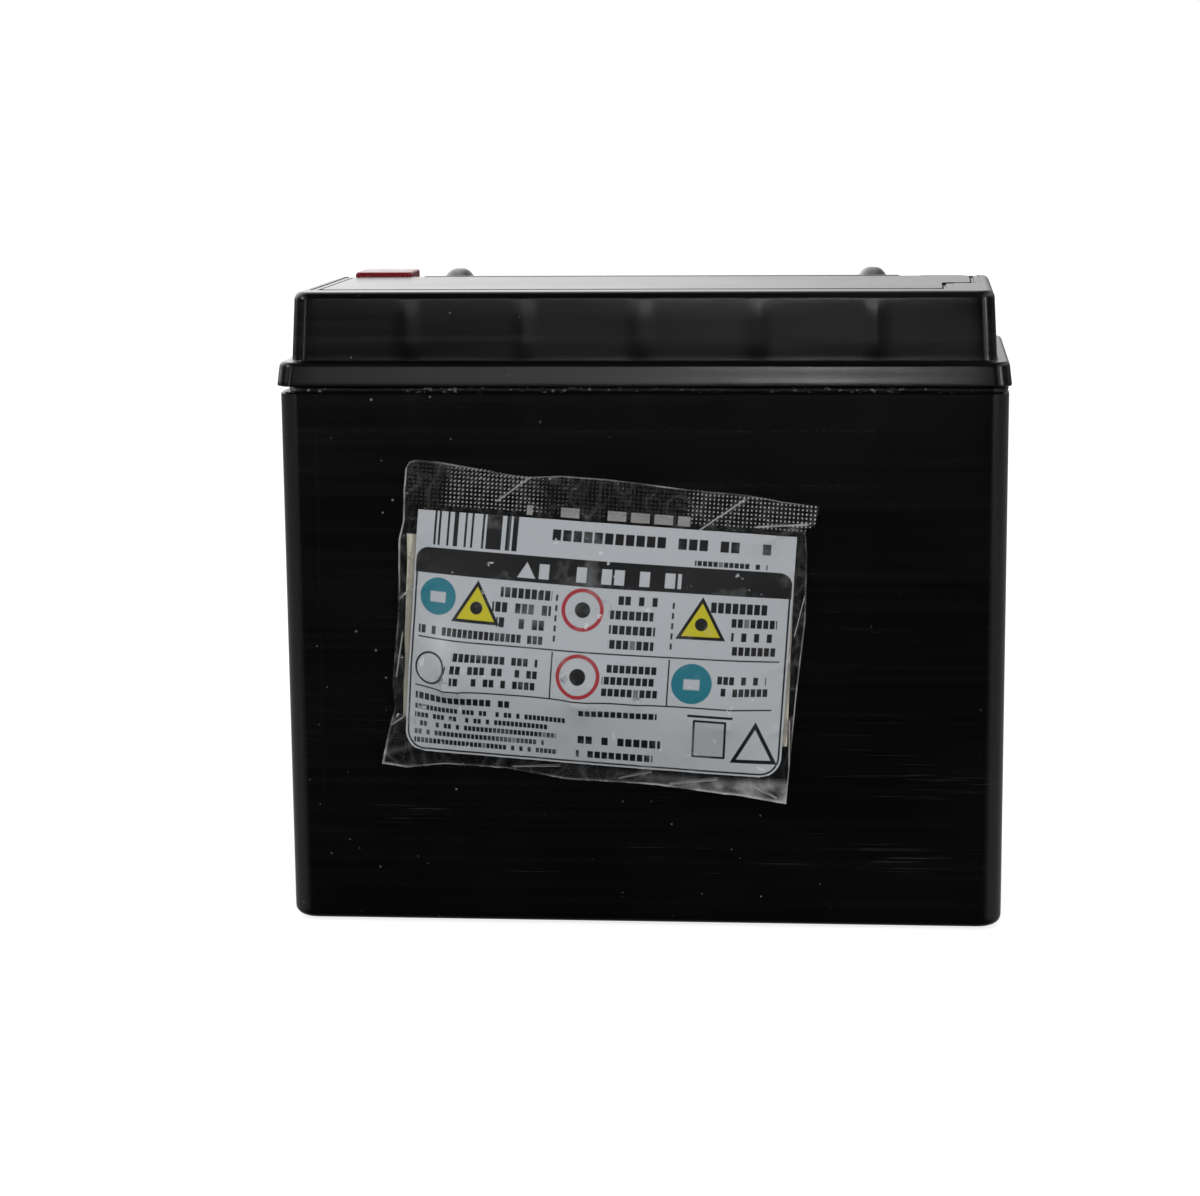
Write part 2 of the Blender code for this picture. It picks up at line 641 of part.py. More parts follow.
def make_bag_contents():
    leaflet = block("instruction_leaflet", LEAFLET_LOW, LEAFLET_HIGH)
    place_on_bag(finish_part(leaflet, material("leaflet_paper", (0.80, 0.76, 0.66), 0.9)))
    pad = block("bag_adhesive", ADHESIVE_LOW, ADHESIVE_HIGH)
    place_on_bag(finish_part(pad, material("adhesive", (0.7, 0.68, 0.6), 0.6)))
    for index, place in enumerate(BOLT_PLACES, start=1):
        bolt = cylinder(
            f"terminal_bolt_{index}", (0.0, 0.0), ACROSS_FLATS / math.sqrt(3), *BOLT_HEAD_X, 6, PARTS)
        join(bolt, cylinder(f"shank_{index}", (0.0, 0.0), BOLT_RADIUS, *BOLT_SHANK_X, 14))
        finish_part(baked(bolt), steel())
        lay_down = Matrix.Rotation(math.pi / 2, 4, "Y") @ Matrix.Rotation(math.pi / 6, 4, "Z")
        bolt.data.transform(Matrix.Translation(place) @ lay_down)
        place_on_bag(bolt)
    for index, place in enumerate(NUT_PLACES, start=1):
        nut = block(f"square_nut_{index}", [-half for half in NUT_HALF], NUT_HALF)
        depth = NUT_HALF[1] + REACH
        thread = cylinder(f"nut_thread_{index}", (0.0, 0.0), NUT_THREAD_RADIUS, -depth, depth, 14)
        thread.rotation_euler.x = math.pi / 2
        cut(nut, thread)
        finish_part(baked(nut), steel())
        nut.data.transform(Matrix.Translation(place))
        place_on_bag(nut)


def main():
    clear_scene()
    make_container()
    make_lid()
    make_vent_cover_plate()
    make_valve_caps()
    make_terminals()
    make_terminal_seals()
    make_positive_terminal_cover()
    make_plate_groups("positive", (0.16, 0.09, 0.06))
    make_plate_groups("negative", (0.30, 0.31, 0.32))
    make_separators()
    make_intercell_links()
    make_fastener_bag()
    make_bag_contents()


main()
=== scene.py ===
"""The looks of a sealed motorcycle battery: its finished mouldings, its bag of fasteners and every material.

Metres, +Z up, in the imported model's own frame. The print on the bag is laid out in millimetres, across and
down from its top left corner.
"""

import math

import bmesh
import bpy
import numpy as np
from mathutils import Matrix, Vector, noise


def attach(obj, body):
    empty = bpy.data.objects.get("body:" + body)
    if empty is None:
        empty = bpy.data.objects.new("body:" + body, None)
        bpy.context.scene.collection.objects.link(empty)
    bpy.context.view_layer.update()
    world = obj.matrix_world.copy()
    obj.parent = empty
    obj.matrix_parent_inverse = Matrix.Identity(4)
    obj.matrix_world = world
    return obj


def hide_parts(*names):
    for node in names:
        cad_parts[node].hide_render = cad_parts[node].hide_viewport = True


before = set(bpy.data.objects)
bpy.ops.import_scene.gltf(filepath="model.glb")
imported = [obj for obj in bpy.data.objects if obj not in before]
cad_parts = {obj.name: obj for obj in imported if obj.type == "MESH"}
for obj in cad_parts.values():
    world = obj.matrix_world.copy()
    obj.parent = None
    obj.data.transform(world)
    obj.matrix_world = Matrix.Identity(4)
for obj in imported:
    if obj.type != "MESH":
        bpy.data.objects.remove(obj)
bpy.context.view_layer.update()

MM = 0.001

# Camera and studio
CAMERA_PLACE = (0.0640, -0.8213, 0.2025)
CAMERA_TURN = 0.0938  # to the left, about the vertical
CAMERA_DIP = 0.1550
CAMERA_ROLL = -0.0082
CAMERA_LENS = 99.3
SENSOR_WIDTH = 36.0
CAMERA_SHIFT = (-0.0023, -0.0003)
FLOOR_DROP = 0.0004
FLOOR_SIZE = 12.0
FLOOR_GLOW = 0.82
BACKDROP_LEVEL = 1.33  # what glossy surfaces mirror behind the battery
SIDES_LEVEL = 0.90  # the same beside it, high up
GROUND_LEVEL = 0.40  # the same low down, everywhere but in front
DARKEST_LEVEL = 0.001
MATT_LEVEL = 0.42  # the even light on matt surfaces

# Mouldings: the sizes that part.py gives them, with finer edges
CASE_TOP_HALF = (0.0869, 0.0429)
CASE_BOTTOM_HALF = (0.0862, 0.0422)
CASE_CORNER = 0.0050
CASE_FOOT = (0.0034, 0.0028)  # how far the rounded foot reaches in and up
SHOULDER = 0.1294
NECK_TOP = 0.1346
NECK_HALF = (0.0847, 0.0407)
NECK_CORNER = 0.0035
FLOOR_THICKNESS = 0.003
CELLS = 6
CELL_HALF_DEPTH = 0.0386
PARTITION = 0.0015
CELL_PITCH = 0.02775
CELL_LENGTH = CELL_PITCH - PARTITION
LINK_Y = 0.023
LINK_Z = 0.123
WINDOW_HALF = (0.0046, 0.0039)

RIM_HALF = (0.0875, 0.0435)
RIM_BOTTOM = 0.1308
RIM_TOP = 0.1366
RIM_CORNER = 0.0042
RIM_TOP_EDGE = 0.0011
RIM_BOTTOM_EDGE = 0.0004
RIM_LEAN = 0.00050  # how far the rim's face leans in towards its top
BLOCK_BOTTOM_HALF = (0.0840, 0.0418)
BLOCK_TOP_HALF = (0.0833, 0.0412)
BLOCK_CORNER = 0.0040
BLOCK_TOP_EDGE = 0.0018
BLOCK_FILLET = 0.0005
LID_TOP = 0.1532
GUARD_TOP = 0.1544
REAR_STRIP_TOP = 0.1516
REAR_STRIP_START = 0.0245
RECESS_FLOOR = 0.1385
RECESS_INNER = 0.0603
RECESS_FRONT = 0.0222
RECESS_CORNER = 0.0020
GUARD_X = 0.0537
GUARD_HALF_WIDTH = 0.0038
GUARD_Y = (0.0285, 0.0408)
GUARD_SLOPE = 0.8  # the share of its length over which it rises
GUARD_BACK = 0.1  # the share over which its back rounds off
CEILING = 0.1484
HEAD_SPACE_END = 0.0800
HEAD_SPACE_FRONT = -0.0375
HEAD_SPACE_BACK = 0.0370
RECESS_WALL = 0.0035
PLATE_HALF_LENGTH = 0.0785
PLATE_FRONT = -0.0310
PLATE_BACK = 0.0208
PLATE_NOTCH = (0.0715, -0.0085)
PLATE_CORNER = 0.0020
PLATE_SEAT = 0.1510
GROOVE_WIDTH = 0.0006
GROOVE_DEPTH = 0.0005
BORDER_WIDTH = 0.0022  # a shallow step that leaves the plate a little proud
BORDER_DEPTH = 0.00018
WELL_Y = 0.0040
WELL_RADIUS = 0.0070
WELL_FLOOR = 0.1405
CUP_RADIUS = 0.0086
CUP_FLOOR = 0.0018
STUB_RADIUS = 0.0034
STUB_TOP = 0.1472
VENT_RADIUS = 0.0017
TERMINAL_X = 0.0715
TERMINAL_Y = 0.0315
BORE_RADIUS = 0.0070
TERMINAL_TOP = 0.1523
COVER_INNER_HALF = (0.0064, 0.0073)
COVER_WALL = 0.0009
COVER_CORNER = 0.0014
COVER_TOP_EDGE = 0.0006
COVER_Z = (0.1400, 0.1542)
GAP = 0.0003
REACH = 0.001  # how far a cutter passes the face that it meets
OUTSIDE = 0.1  # a distance beyond every side of the battery

SINK_DEPTH = 0.00016  # shrinkage of the faces where a partition meets them
SINK_WIDTH = 0.0021
MOULD_LINES = (-0.0776, 0.0793)
MOULD_LINE_HEIGHT = 0.00006
MOULD_LINE_WIDTH = 0.00022
WAVINESS = 0.00005
RELIEF_FADE = 0.003  # the run over which the shrinkage and waviness start and end

# The flash squeezed out under the rim
FLASH_HALF = (0.0862, 0.0422)
FLASH_CORNER = 0.0046
FLASH_Z = 0.1300
FLASH_STEP = 0.0004
FLASH_SIDES = 10
FLASH_HALF_WIDTH = 0.00042
FLASH_HALF_HEIGHT = 0.00078
FLASH_SUNK = 0.0019  # how far it stays in on the left side

# Bag: the print's own corner and tilt on the face, then sizes in millimetres from there
BAG_CENTRE = (-0.0102, -0.04375, 0.0717)
BAG_TILT = math.radians(6.2)
PRINT_CORNER = (-0.05315, -0.04375, 0.10169)
PRINT_TILT = math.radians(4.0)
PRINT_SIZE = (90.6, 58.3)
PRINT_ROUNDING = 5.0


# ---- meshes

def add_object(name, bm):
    data = bpy.data.meshes.new(name)
    bm.to_mesh(data)
    bm.free()
    item = bpy.data.objects.new(name, data)
    bpy.context.scene.collection.objects.link(item)
    return item


def quarter(reach_in, rise, steps):
    """(inset, height) pairs of an elliptical quarter round, from its foot on the face to its top."""
    turns = [math.pi / 2 * step / steps for step in range(steps + 1)]
    return [(reach_in * (1 - math.cos(turn)), rise * math.sin(turn)) for turn in turns]


def ring(half, corner, height, stations=(), steps=6):
    """A rectangle with round corners, anticlockwise from the front left, with points at the stations."""
    straight = half[0] - corner
    along = [-straight] + [x for x in stations if abs(x) < straight] + [straight]
    points = [Vector((x, -half[1], height)) for x in along[1:-1]]
    corners = ((1, -1, -math.pi / 2), (1, 1, 0.0), (-1, 1, math.pi / 2), (-1, -1, math.pi))
    for side_x, side_y, start in corners:
        centre = Vector((side_x * straight, side_y * (half[1] - corner), height))
        for step in range(steps + 1):
            turn = start + math.pi / 2 * step / steps
            points.append(centre + corner * Vector((math.cos(turn), math.sin(turn), 0.0)))
        if (side_x, side_y) == (1, 1):
            points += [Vector((x, half[1], height)) for x in reversed(along[1:-1])]
    return points


def loft(name, rings):
    """A closed solid through rings with the same number of points, from the lowest to the highest."""
    bm = bmesh.new()
    levels = [[bm.verts.new(point) for point in points] for points in rings]
    count = len(levels[0])
    for low, high in zip(levels, levels[1:]):
        for index in range(count):
            after = (index + 1) % count
            bm.faces.new((low[index], low[after], high[after], high[index]))
    bm.faces.new(list(reversed(levels[0])))
    bm.faces.new(levels[-1])
    return add_object(name, bm)


def rounded_block(name, half, low, high, corner, top_edge=0.0, place=(0.0, 0.0), steps=5):
    """An upright block with round corners and a rounded top."""
    rings = [ring(half, corner, low, steps=steps)]
    for inset, rise in (quarter(top_edge, top_edge, steps) if top_edge else [(0.0, 0.0)]):
        inner = (half[0] - inset, half[1] - inset)
        rings.append(ring(inner, max(corner - inset, corner / 4), high - top_edge + rise, steps=steps))
    item = loft(name, rings)
    item.data.transform(Matrix.Translation((*place, 0.0)))
    return item


def boxes(name, corners):
    bm = bmesh.new()
    for low, high in corners:
        made = bmesh.ops.create_cube(bm, size=1.0)["verts"]
        bmesh.ops.scale(bm, vec=Vector(high) - Vector(low), verts=made)
        bmesh.ops.translate(bm, vec=(Vector(high) + Vector(low)) / 2, verts=made)
    return add_object(name, bm)


def cylinders(name, centres, radius, low, high, sides=32):
    bm = bmesh.new()
    for x, y in centres:
        made = bmesh.ops.create_cone(
            bm, cap_ends=True, segments=sides, radius1=radius, radius2=radius, depth=high - low)["verts"]
        bmesh.ops.translate(bm, vec=(x, y, (low + high) / 2), verts=made)
    return add_object(name, bm)


def prism(name, outline, low, high):
    bm = bmesh.new()
    face = bm.faces.new([bm.verts.new((x, y, low)) for x, y in outline])
    grown = bmesh.ops.extrude_face_region(bm, geom=[face])["geom"]
    top = [item for item in grown if isinstance(item, bmesh.types.BMVert)]
    bmesh.ops.translate(bm, vec=(0.0, 0.0, high - low), verts=top)
    bmesh.ops.recalc_face_normals(bm, faces=bm.faces)
    return add_object(name, bm)


def bake(item):
    graph = bpy.context.evaluated_depsgraph_get()
    data = bpy.data.meshes.new_from_object(item.evaluated_get(graph), depsgraph=graph)
    item.modifiers.clear()
    item.data = data


def combine(target, operation, *others):
    """Booleans the others with the target, in order, and removes them."""
    for other in others:
        change = target.modifiers.new("combine", "BOOLEAN")
        change.operation = operation
        change.solver = "EXACT"
        change.object = other
        bake(target)
        bpy.data.objects.remove(other)


def shade(item, finish, sharp=32, weighted=True):
    item.data.materials.clear()
    item.data.materials.append(finish)
    item.data.shade_smooth()
    item.data.set_sharp_from_angle(angle=math.radians(sharp))
    if weighted:
        change = item.modifiers.new("even_shading", "WEIGHTED_NORMAL")
        change.keep_sharp = True
        change.weight = 80
    return item


def clamp(value, low=0.0, high=1.0):
    return min(max(value, low), high)


def wave(x, y, z, scale, seed=0.0):
    """Smooth noise from -1 to 1 whose lumps are about 1 / scale across."""
    return noise.noise(Vector((x * scale + seed, y * scale - seed, z * scale + 2 * seed)))


# ---- container and lid

def cell_centre(index):
    return (index - (CELLS - 1) / 2) * CELL_PITCH


def partitions():
    return [cell_centre(index) + CELL_PITCH / 2 for index in range(CELLS - 1)]


def face_stations(mould_lines=()):
    """Places along the long faces: an even run, and closer ones at the partitions and mould lines."""
    places = list(np.linspace(-0.0770, 0.0770, 45))
    for middle in partitions():
        places += [middle + SINK_WIDTH * share for share in (-1.8, -1.2, -0.6, 0.0, 0.6, 1.2, 1.8)]
    for middle in mould_lines:
        places += [middle + MOULD_LINE_WIDTH * share for share in (-2.0, -1.0, 0.0, 1.0, 2.0)]
    places.sort()
    kept = [places[0]]
    for place in places[1:]:
        if place - kept[-1] > MOULD_LINE_WIDTH / 2:
            kept.append(place)
    return kept


def relieve(item, low, high, lines):
    """Gives the long faces between two heights their shrinkage, waviness and mould lines."""
    for vert in item.data.vertices:
        x, y, z = vert.co
        if not low < z < high:
            continue
        fade = min(1.0, (z - low) / RELIEF_FADE, (high - z) / RELIEF_FADE)
        out = WAVINESS * wave(x, y, z, 28.0)
        out -= sum(SINK_DEPTH * math.exp(-(((x - middle) / SINK_WIDTH) ** 2)) for middle in partitions())
        if lines:
            out += sum(
                MOULD_LINE_HEIGHT * math.exp(-(((x - middle) / MOULD_LINE_WIDTH) ** 2))
                for middle in MOULD_LINES)
        if abs(x) < BLOCK_TOP_HALF[0] - BLOCK_CORNER:
            vert.co.y += math.copysign(out * fade, y)


def between(first, second, share):
    return tuple(a + (b - a) * share for a, b in zip(first, second))


def make_container():
    stations = face_stations(MOULD_LINES)
    rings = []
    for inset, rise in reversed(quarter(*CASE_FOOT, 7)):
        half = tuple(side - inset for side in CASE_BOTTOM_HALF)
        rings.append(ring(half, CASE_CORNER - 0.6 * inset, CASE_FOOT[1] - rise, stations))
    for share in np.linspace(0.04, 0.997, 22):
        rings.append(ring(
            between(CASE_BOTTOM_HALF, CASE_TOP_HALF, share), CASE_CORNER, share * SHOULDER, stations))
    top = tuple(side - 0.0004 for side in CASE_TOP_HALF)
    rings.append(ring(top, CASE_CORNER - 0.0004, SHOULDER, stations))
    shell = loft("container_shell", rings)
    relieve(shell, CASE_FOOT[1], SHOULDER - 0.0005, lines=True)
    neck = rounded_block("neck", NECK_HALF, SHOULDER - 0.004, NECK_TOP, NECK_CORNER)
    cells = boxes("cells", [
        ((cell_centre(index) - CELL_LENGTH / 2, -CELL_HALF_DEPTH, FLOOR_THICKNESS),
         (cell_centre(index) + CELL_LENGTH / 2, CELL_HALF_DEPTH, NECK_TOP + REACH))
        for index in range(CELLS)])
    windows = boxes("windows", [
        ((across - PARTITION, side * LINK_Y - WINDOW_HALF[0], LINK_Z - WINDOW_HALF[1]),
         (across + PARTITION, side * LINK_Y + WINDOW_HALF[0], LINK_Z + WINDOW_HALF[1]))
        for across, side in zip(partitions(), (-1, 1, -1, 1, -1))])
    combine(shell, "UNION", neck)
    combine(shell, "DIFFERENCE", cells, windows)
    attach(shell, "battery")
    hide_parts("container")
    return shade(shell, FINISHES["case"])


def lid_rings():
    """The lid's outside from the underside of its rim, over the rim and up the block to its top."""
    stations = face_stations()
    rings = []

    def add(half, inset, corner, height):
        rings.append(ring((half[0] - inset, half[1] - inset), corner, height, stations))

    for inset, rise in reversed(quarter(RIM_BOTTOM_EDGE, RIM_BOTTOM_EDGE, 3)):
        add(RIM_HALF, inset, RIM_CORNER, RIM_BOTTOM + RIM_BOTTOM_EDGE - rise)
    face_top = RIM_TOP - RIM_TOP_EDGE
    for share in (0.2, 0.4, 0.6, 0.8):
        height = RIM_BOTTOM + RIM_BOTTOM_EDGE + share * (face_top - RIM_BOTTOM - RIM_BOTTOM_EDGE)
        add(RIM_HALF, RIM_LEAN * share, RIM_CORNER, height)
    for inset, rise in quarter(RIM_TOP_EDGE, RIM_TOP_EDGE, 6):
        add(RIM_HALF, RIM_LEAN + inset, RIM_CORNER - inset, face_top + rise)
    for inset, rise in quarter(BLOCK_FILLET, BLOCK_FILLET, 3):
        add(BLOCK_BOTTOM_HALF, rise - BLOCK_FILLET, BLOCK_CORNER, RIM_TOP + inset)
    foot, crown = RIM_TOP + BLOCK_FILLET, LID_TOP - BLOCK_TOP_EDGE
    for share in np.linspace(0.1, 0.92, 8):
        half = between(BLOCK_BOTTOM_HALF, BLOCK_TOP_HALF, share)
        add(half, 0.0, BLOCK_CORNER, foot + share * (crown - foot))
    for inset, rise in quarter(BLOCK_TOP_EDGE, BLOCK_TOP_EDGE, 7):
        add(BLOCK_TOP_HALF, inset, BLOCK_CORNER - 0.9 * inset, crown + rise)
    return rings


def plate_outline(grow=0.0):
    """The notched recess of the vent cover plate, anticlockwise, with a round at each corner."""
    end = PLATE_HALF_LENGTH + grow
    front, back = PLATE_FRONT - grow, PLATE_BACK + grow
    notch = (PLATE_NOTCH[0] + grow, PLATE_NOTCH[1] - grow)
    corners = [(-end, front), (notch[0], front), notch, (end, notch[1]), (end, back), (-end, back)]
    result = []
    for index, corner in enumerate(corners):
        here = Vector(corner)
        before = (Vector(corners[index - 1]) - here).normalized()
        after = (Vector(corners[(index + 1) % len(corners)]) - here).normalized()
        centre = here + (before + after) * PLATE_CORNER
        for step in range(7):
            turn = math.pi / 12 * step
            result.append(tuple(centre - (after * math.cos(turn) + before * math.sin(turn)) * PLATE_CORNER))
    return result


def guard(across):
    """A low dome by the far edge, which slopes up from its front and ends in a rounded back."""
    length = GUARD_Y[1] - GUARD_Y[0]
    rings = []
    for share in [step / 20 for step in range(19)] + [0.925, 0.95, 0.975, 1.0]:
        slope = math.sin(math.pi / 2 * min(share / GUARD_SLOPE, 1.0))
        past = max(share - (1.0 - GUARD_BACK), 0.0) / GUARD_BACK
        rounded_back = math.sqrt(1.0 - past ** 2 * 0.9)
        crown = (GUARD_TOP - REAR_STRIP_TOP) * slope * rounded_back
        y = GUARD_Y[0] + length * share
        points = []
        for place in (step / 12 for step in range(-12, 13)):
            rise = crown * (1.0 - abs(place) ** 3) ** 0.9
            points.append(Vector((across + GUARD_HALF_WIDTH * place, y, REAR_STRIP_TOP + rise)))
        for side in (1, -1):
            points.append(Vector((across + side * GUARD_HALF_WIDTH, y, REAR_STRIP_TOP - REACH)))
        rings.append(points)
    return loft("guard", rings)


def make_lid():
    shell = loft("lid_shell", lid_rings())
    relieve(shell, RIM_TOP + BLOCK_FILLET, LID_TOP - BLOCK_TOP_EDGE, lines=False)
    wells = [(cell_centre(index), WELL_Y) for index in range(CELLS)]
    combine(shell, "DIFFERENCE", boxes("rear_strip", [
        ((-OUTSIDE, REAR_STRIP_START, REAR_STRIP_TOP), (OUTSIDE, OUTSIDE, GUARD_TOP))]))
    combine(shell, "UNION", guard(-GUARD_X), guard(GUARD_X))
    for side in (-1, 1):
        low_x, high_x = sorted((side * RECESS_INNER, side * OUTSIDE))
        half = ((high_x - low_x) / 2, (OUTSIDE - RECESS_FRONT) / 2)
        combine(shell, "DIFFERENCE", rounded_block(
            "recess", half, RECESS_FLOOR, LID_TOP + REACH, RECESS_CORNER,
            place=((low_x + high_x) / 2, (OUTSIDE + RECESS_FRONT) / 2)))
    combine(shell, "DIFFERENCE", prism("plate_recess", plate_outline(), PLATE_SEAT, LID_TOP + REACH))
    steps = (("groove", GROOVE_WIDTH, GROOVE_DEPTH), ("border", BORDER_WIDTH, BORDER_DEPTH))
    for name, grow, depth in steps:
        combine(shell, "DIFFERENCE", prism(name, plate_outline(grow), LID_TOP - depth, LID_TOP + REACH))
    neck_half = tuple(side + GAP for side in NECK_HALF)
    combine(shell, "DIFFERENCE", rounded_block(
        "neck_space", neck_half, RIM_BOTTOM - REACH, NECK_TOP + GAP, NECK_CORNER + GAP))
    spaces = []
    for index in range(CELLS):
        middle = cell_centre(index)
        back = RECESS_FRONT - RECESS_WALL if index in (0, CELLS - 1) else HEAD_SPACE_BACK
        low_x = max(middle - CELL_LENGTH / 2, -HEAD_SPACE_END)
        high_x = min(middle + CELL_LENGTH / 2, HEAD_SPACE_END)
        spaces.append(((low_x, HEAD_SPACE_FRONT, NECK_TOP), (high_x, back, CEILING)))
    combine(shell, "DIFFERENCE", boxes("head_spaces", spaces))
    combine(shell, "UNION", cylinders("cups", wells, CUP_RADIUS, WELL_FLOOR - CUP_FLOOR, CEILING + REACH))
    combine(shell, "DIFFERENCE", cylinders("wells", wells, WELL_RADIUS, WELL_FLOOR, PLATE_SEAT + REACH))
    combine(shell, "UNION", cylinders("stubs", wells, STUB_RADIUS, WELL_FLOOR - REACH, STUB_TOP))
    combine(shell, "DIFFERENCE", cylinders(
        "vents", wells, VENT_RADIUS, WELL_FLOOR - CUP_FLOOR - REACH, STUB_TOP + REACH))
    combine(shell, "DIFFERENCE", cylinders(
        "bores", [(-TERMINAL_X, TERMINAL_Y), (TERMINAL_X, TERMINAL_Y)], BORE_RADIUS,
        NECK_TOP - REACH, RECESS_FLOOR + REACH))
    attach(shell, "battery")
    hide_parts("lid")
    return shade(shell, FINISHES["lid"])


def make_weld_flash():
    """The uneven bead of plastic squeezed out between container and rim. It stays far in on the left side."""
    path = ring(FLASH_HALF, FLASH_CORNER, FLASH_Z, list(np.linspace(-0.08, 0.08, 400)), steps=20)
    route = []
    for start, end in zip(path, path[1:] + path[:1]):
        pieces = max(1, int((end - start).length / FLASH_STEP))
        route += [start.lerp(end, step / pieces) for step in range(pieces)]
    upright = Vector((0.0, 0.0, 1.0))
    bm = bmesh.new()
    loops = []
    count = len(route)
    for index, point in enumerate(route):
        outward = (route[(index + 1) % count] - route[index - 1]).normalized().cross(upright)
        x, y, z = point
        speck = max(0.0, wave(x, y, z, 640.0, 7.3) - 0.25)
        sunk = FLASH_SUNK * clamp((-0.0820 - x) / 0.003)
        centre = point + outward * (0.00016 * wave(x, y, z, 150.0, 3.1) + 0.0002 * speck - sunk)
        centre.z += 0.00012 * wave(x, y, z, 420.0, 5.7)
        width = FLASH_HALF_WIDTH + 0.00014 * wave(x, y, z, 800.0) + 0.00030 * speck
        loop = []
        for turn in (math.tau * step / FLASH_SIDES for step in range(FLASH_SIDES)):
            reach = width * (1.0 + 0.35 * wave(x, y + turn, z, 1300.0, 1.7)) * math.cos(turn)
            loop.append(bm.verts.new(centre + outward * reach + upright * FLASH_HALF_HEIGHT * math.sin(turn)))
        loops.append(loop)
    for here, after in zip(loops, loops[1:] + loops[:1]):
        for step in range(FLASH_SIDES):
            following = (step + 1) % FLASH_SIDES
            bm.faces.new((here[step], after[step], after[following], here[following]))
    bmesh.ops.recalc_face_normals(bm, faces=bm.faces)
    bead = add_object("weld_flash", bm)
    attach(bead, "battery")
    return shade(bead, FINISHES["flash"], sharp=80, weighted=False)


def make_positive_cover():
    outer = tuple(side + COVER_WALL for side in COVER_INNER_HALF)
    place = (-TERMINAL_X, TERMINAL_Y)
    cap = rounded_block("positive_cover_shell", outer, *COVER_Z, COVER_CORNER, COVER_TOP_EDGE, place=place)
    combine(cap, "DIFFERENCE", rounded_block(
        "hollow", COVER_INNER_HALF, COVER_Z[0] - REACH, TERMINAL_TOP + GAP, COVER_CORNER / 2, place=place))
    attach(cap, "positive_cover")
    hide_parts("positive_terminal_cover")
    return shade(cap, FINISHES["red"])


# ---- bag

TOP_EDGE = (  # the bag's ragged outline, as (across, down) or (down, across)
    (-4.0, -8.4), (-2.6, -11.4), (-0.9, -12.0), (4.8, -11.9), (17.9, -10.5), (26.1, -9.8), (33.7, -10.7),
    (44.2, -10.7), (63.3, -9.6), (77.6, -9.3), (86.4, -8.3), (95.0, -7.8))
BOTTOM_EDGE = (
    (-5.5, 62.6), (0.8, 63.0), (9.8, 61.4), (24.9, 61.2), (39.3, 62.8), (60.8, 62.4), (82.6, 63.6),
    (92.5, 64.6))
LEFT_EDGE = (
    (-12.0, -3.4), (-4.6, -3.7), (3.1, -3.5), (7.5, -4.3), (24.8, -3.5), (42.7, -4.0), (48.0, -3.0),
    (55.4, -4.5), (62.6, -5.5))
RIGHT_EDGE = (
    (-7.8, 95.1), (-3.6, 94.3), (-2.9, 92.3), (4.6, 93.3), (19.7, 94.0), (39.1, 93.1), (64.6, 92.5))
NOMINAL_LEFT, NOMINAL_RIGHT = -4.0, 94.0  # the grid's own straight outline, which ragged() moves
NOMINAL_TOP, NOMINAL_BOTTOM = -10.0, 63.0
SEAL_LEFT, SEAL_RIGHT, SEAL_TOP, SEAL_BOTTOM = -2.6, 92.2, -1.5, 61.0
BAND_BOTTOM = -1.6  # lower edge of the knurled heat seal
KNURL_PITCH = 1.0
KNURL_HEIGHT = 0.20
KNURL_FADE = 0.8  # how far the knurling runs past the seal's edge
LEAST_HEIGHT = 0.15  # of the front film over the back film's plane
CUT_CURL = 0.25  # how far its cut edges stand out
PRINT_LIFT = 0.07  # of the printed layer over the film
SEALED_HEIGHT = 0.45  # of the front film over the back film's plane
FILL_PRESSURE = 0.0125  # bulge of the trapped air, per square millimetre
CREASES = (  # from, to, half width, height
    ((26.4, -9.8), (18.9, -3.4), 0.55, 0.50), ((77.7, -8.0), (66.0, 2.4), 0.6, 0.55),
    ((92.2, -3.1), (80.5, 3.2), 0.7, 0.7), ((36.0, -10.5), (41.5, 0.5), 0.6, 0.3),
    ((-3.4, 22.0), (5.0, 17.0), 0.7, 0.45), ((-3.5, 36.0), (6.5, 40.0), 0.8, 0.45),
    ((-4.0, 52.0), (9.0, 46.5), 0.8, 0.5), ((-4.8, 60.0), (7.0, 55.5), 0.9, 0.6),
    ((93.0, 30.0), (84.0, 33.0), 0.8, 0.35), ((93.0, 44.0), (83.5, 50.5), 0.8, 0.45),
    ((60.0, 62.5), (55.0, 55.0), 0.8, 0.35), ((78.0, 63.5), (71.0, 57.0), 0.9, 0.45),
    ((22.0, 61.5), (27.0, 54.5), 0.9, 0.35))
BOLT_PLACES = ((-27.0, -13.5), (4.0, -13.5))
BOLT_DEPTH = 6.55  # of its middle, out of the back film's plane
BOLT_HEAD = (-8.0, -4.0)
BOLT_SHANK_END = 8.0
BOLT_FLATS_HALF = 5.0
BOLT_SHANK_RADIUS = 3.0
NUT_PLACES = ((0.0, 6.5), (29.0, -13.5))
NUT_FRONT = 6.7
NUT_HALF = 5.0
LEAFLET_HALF = (44.5, 27.0)  # the room that it takes under the front film
LEAFLET_Z = -6.5
LEAFLET_FRONT = 1.6
LEAFLET_ACROSS = (-1.6, 91.1)  # its edges, on the print's axes
LEAFLET_DOWN = (6.0, 50.5)
LEAFLET_SLANT = 0.030
LEAFLET_MIDDLE = 28.0  # how far down the print it slants about
LEAFLET_PLANE = 0.95
LEAFLET_THICKNESS = 0.0003
GLUE_HALF = (0.0298, 0.0198)
GLUE_THICKNESS = 0.00028
GLUE_CORNER = 0.004
GLUE_PLACE = (0.0, 0.0006, -0.0015)  # from the middle of the bag
CUT_LINE = 0.22  # width of the painted highlight line along the film's cut edges
FIELD_STEP = 0.5
FIELD_LOW = (-8.0, -15.0)
FIELD_HIGH = (98.0, 68.0)
FIELD_SWEEPS = 3500
SMOOTHING_SWEEPS = 6


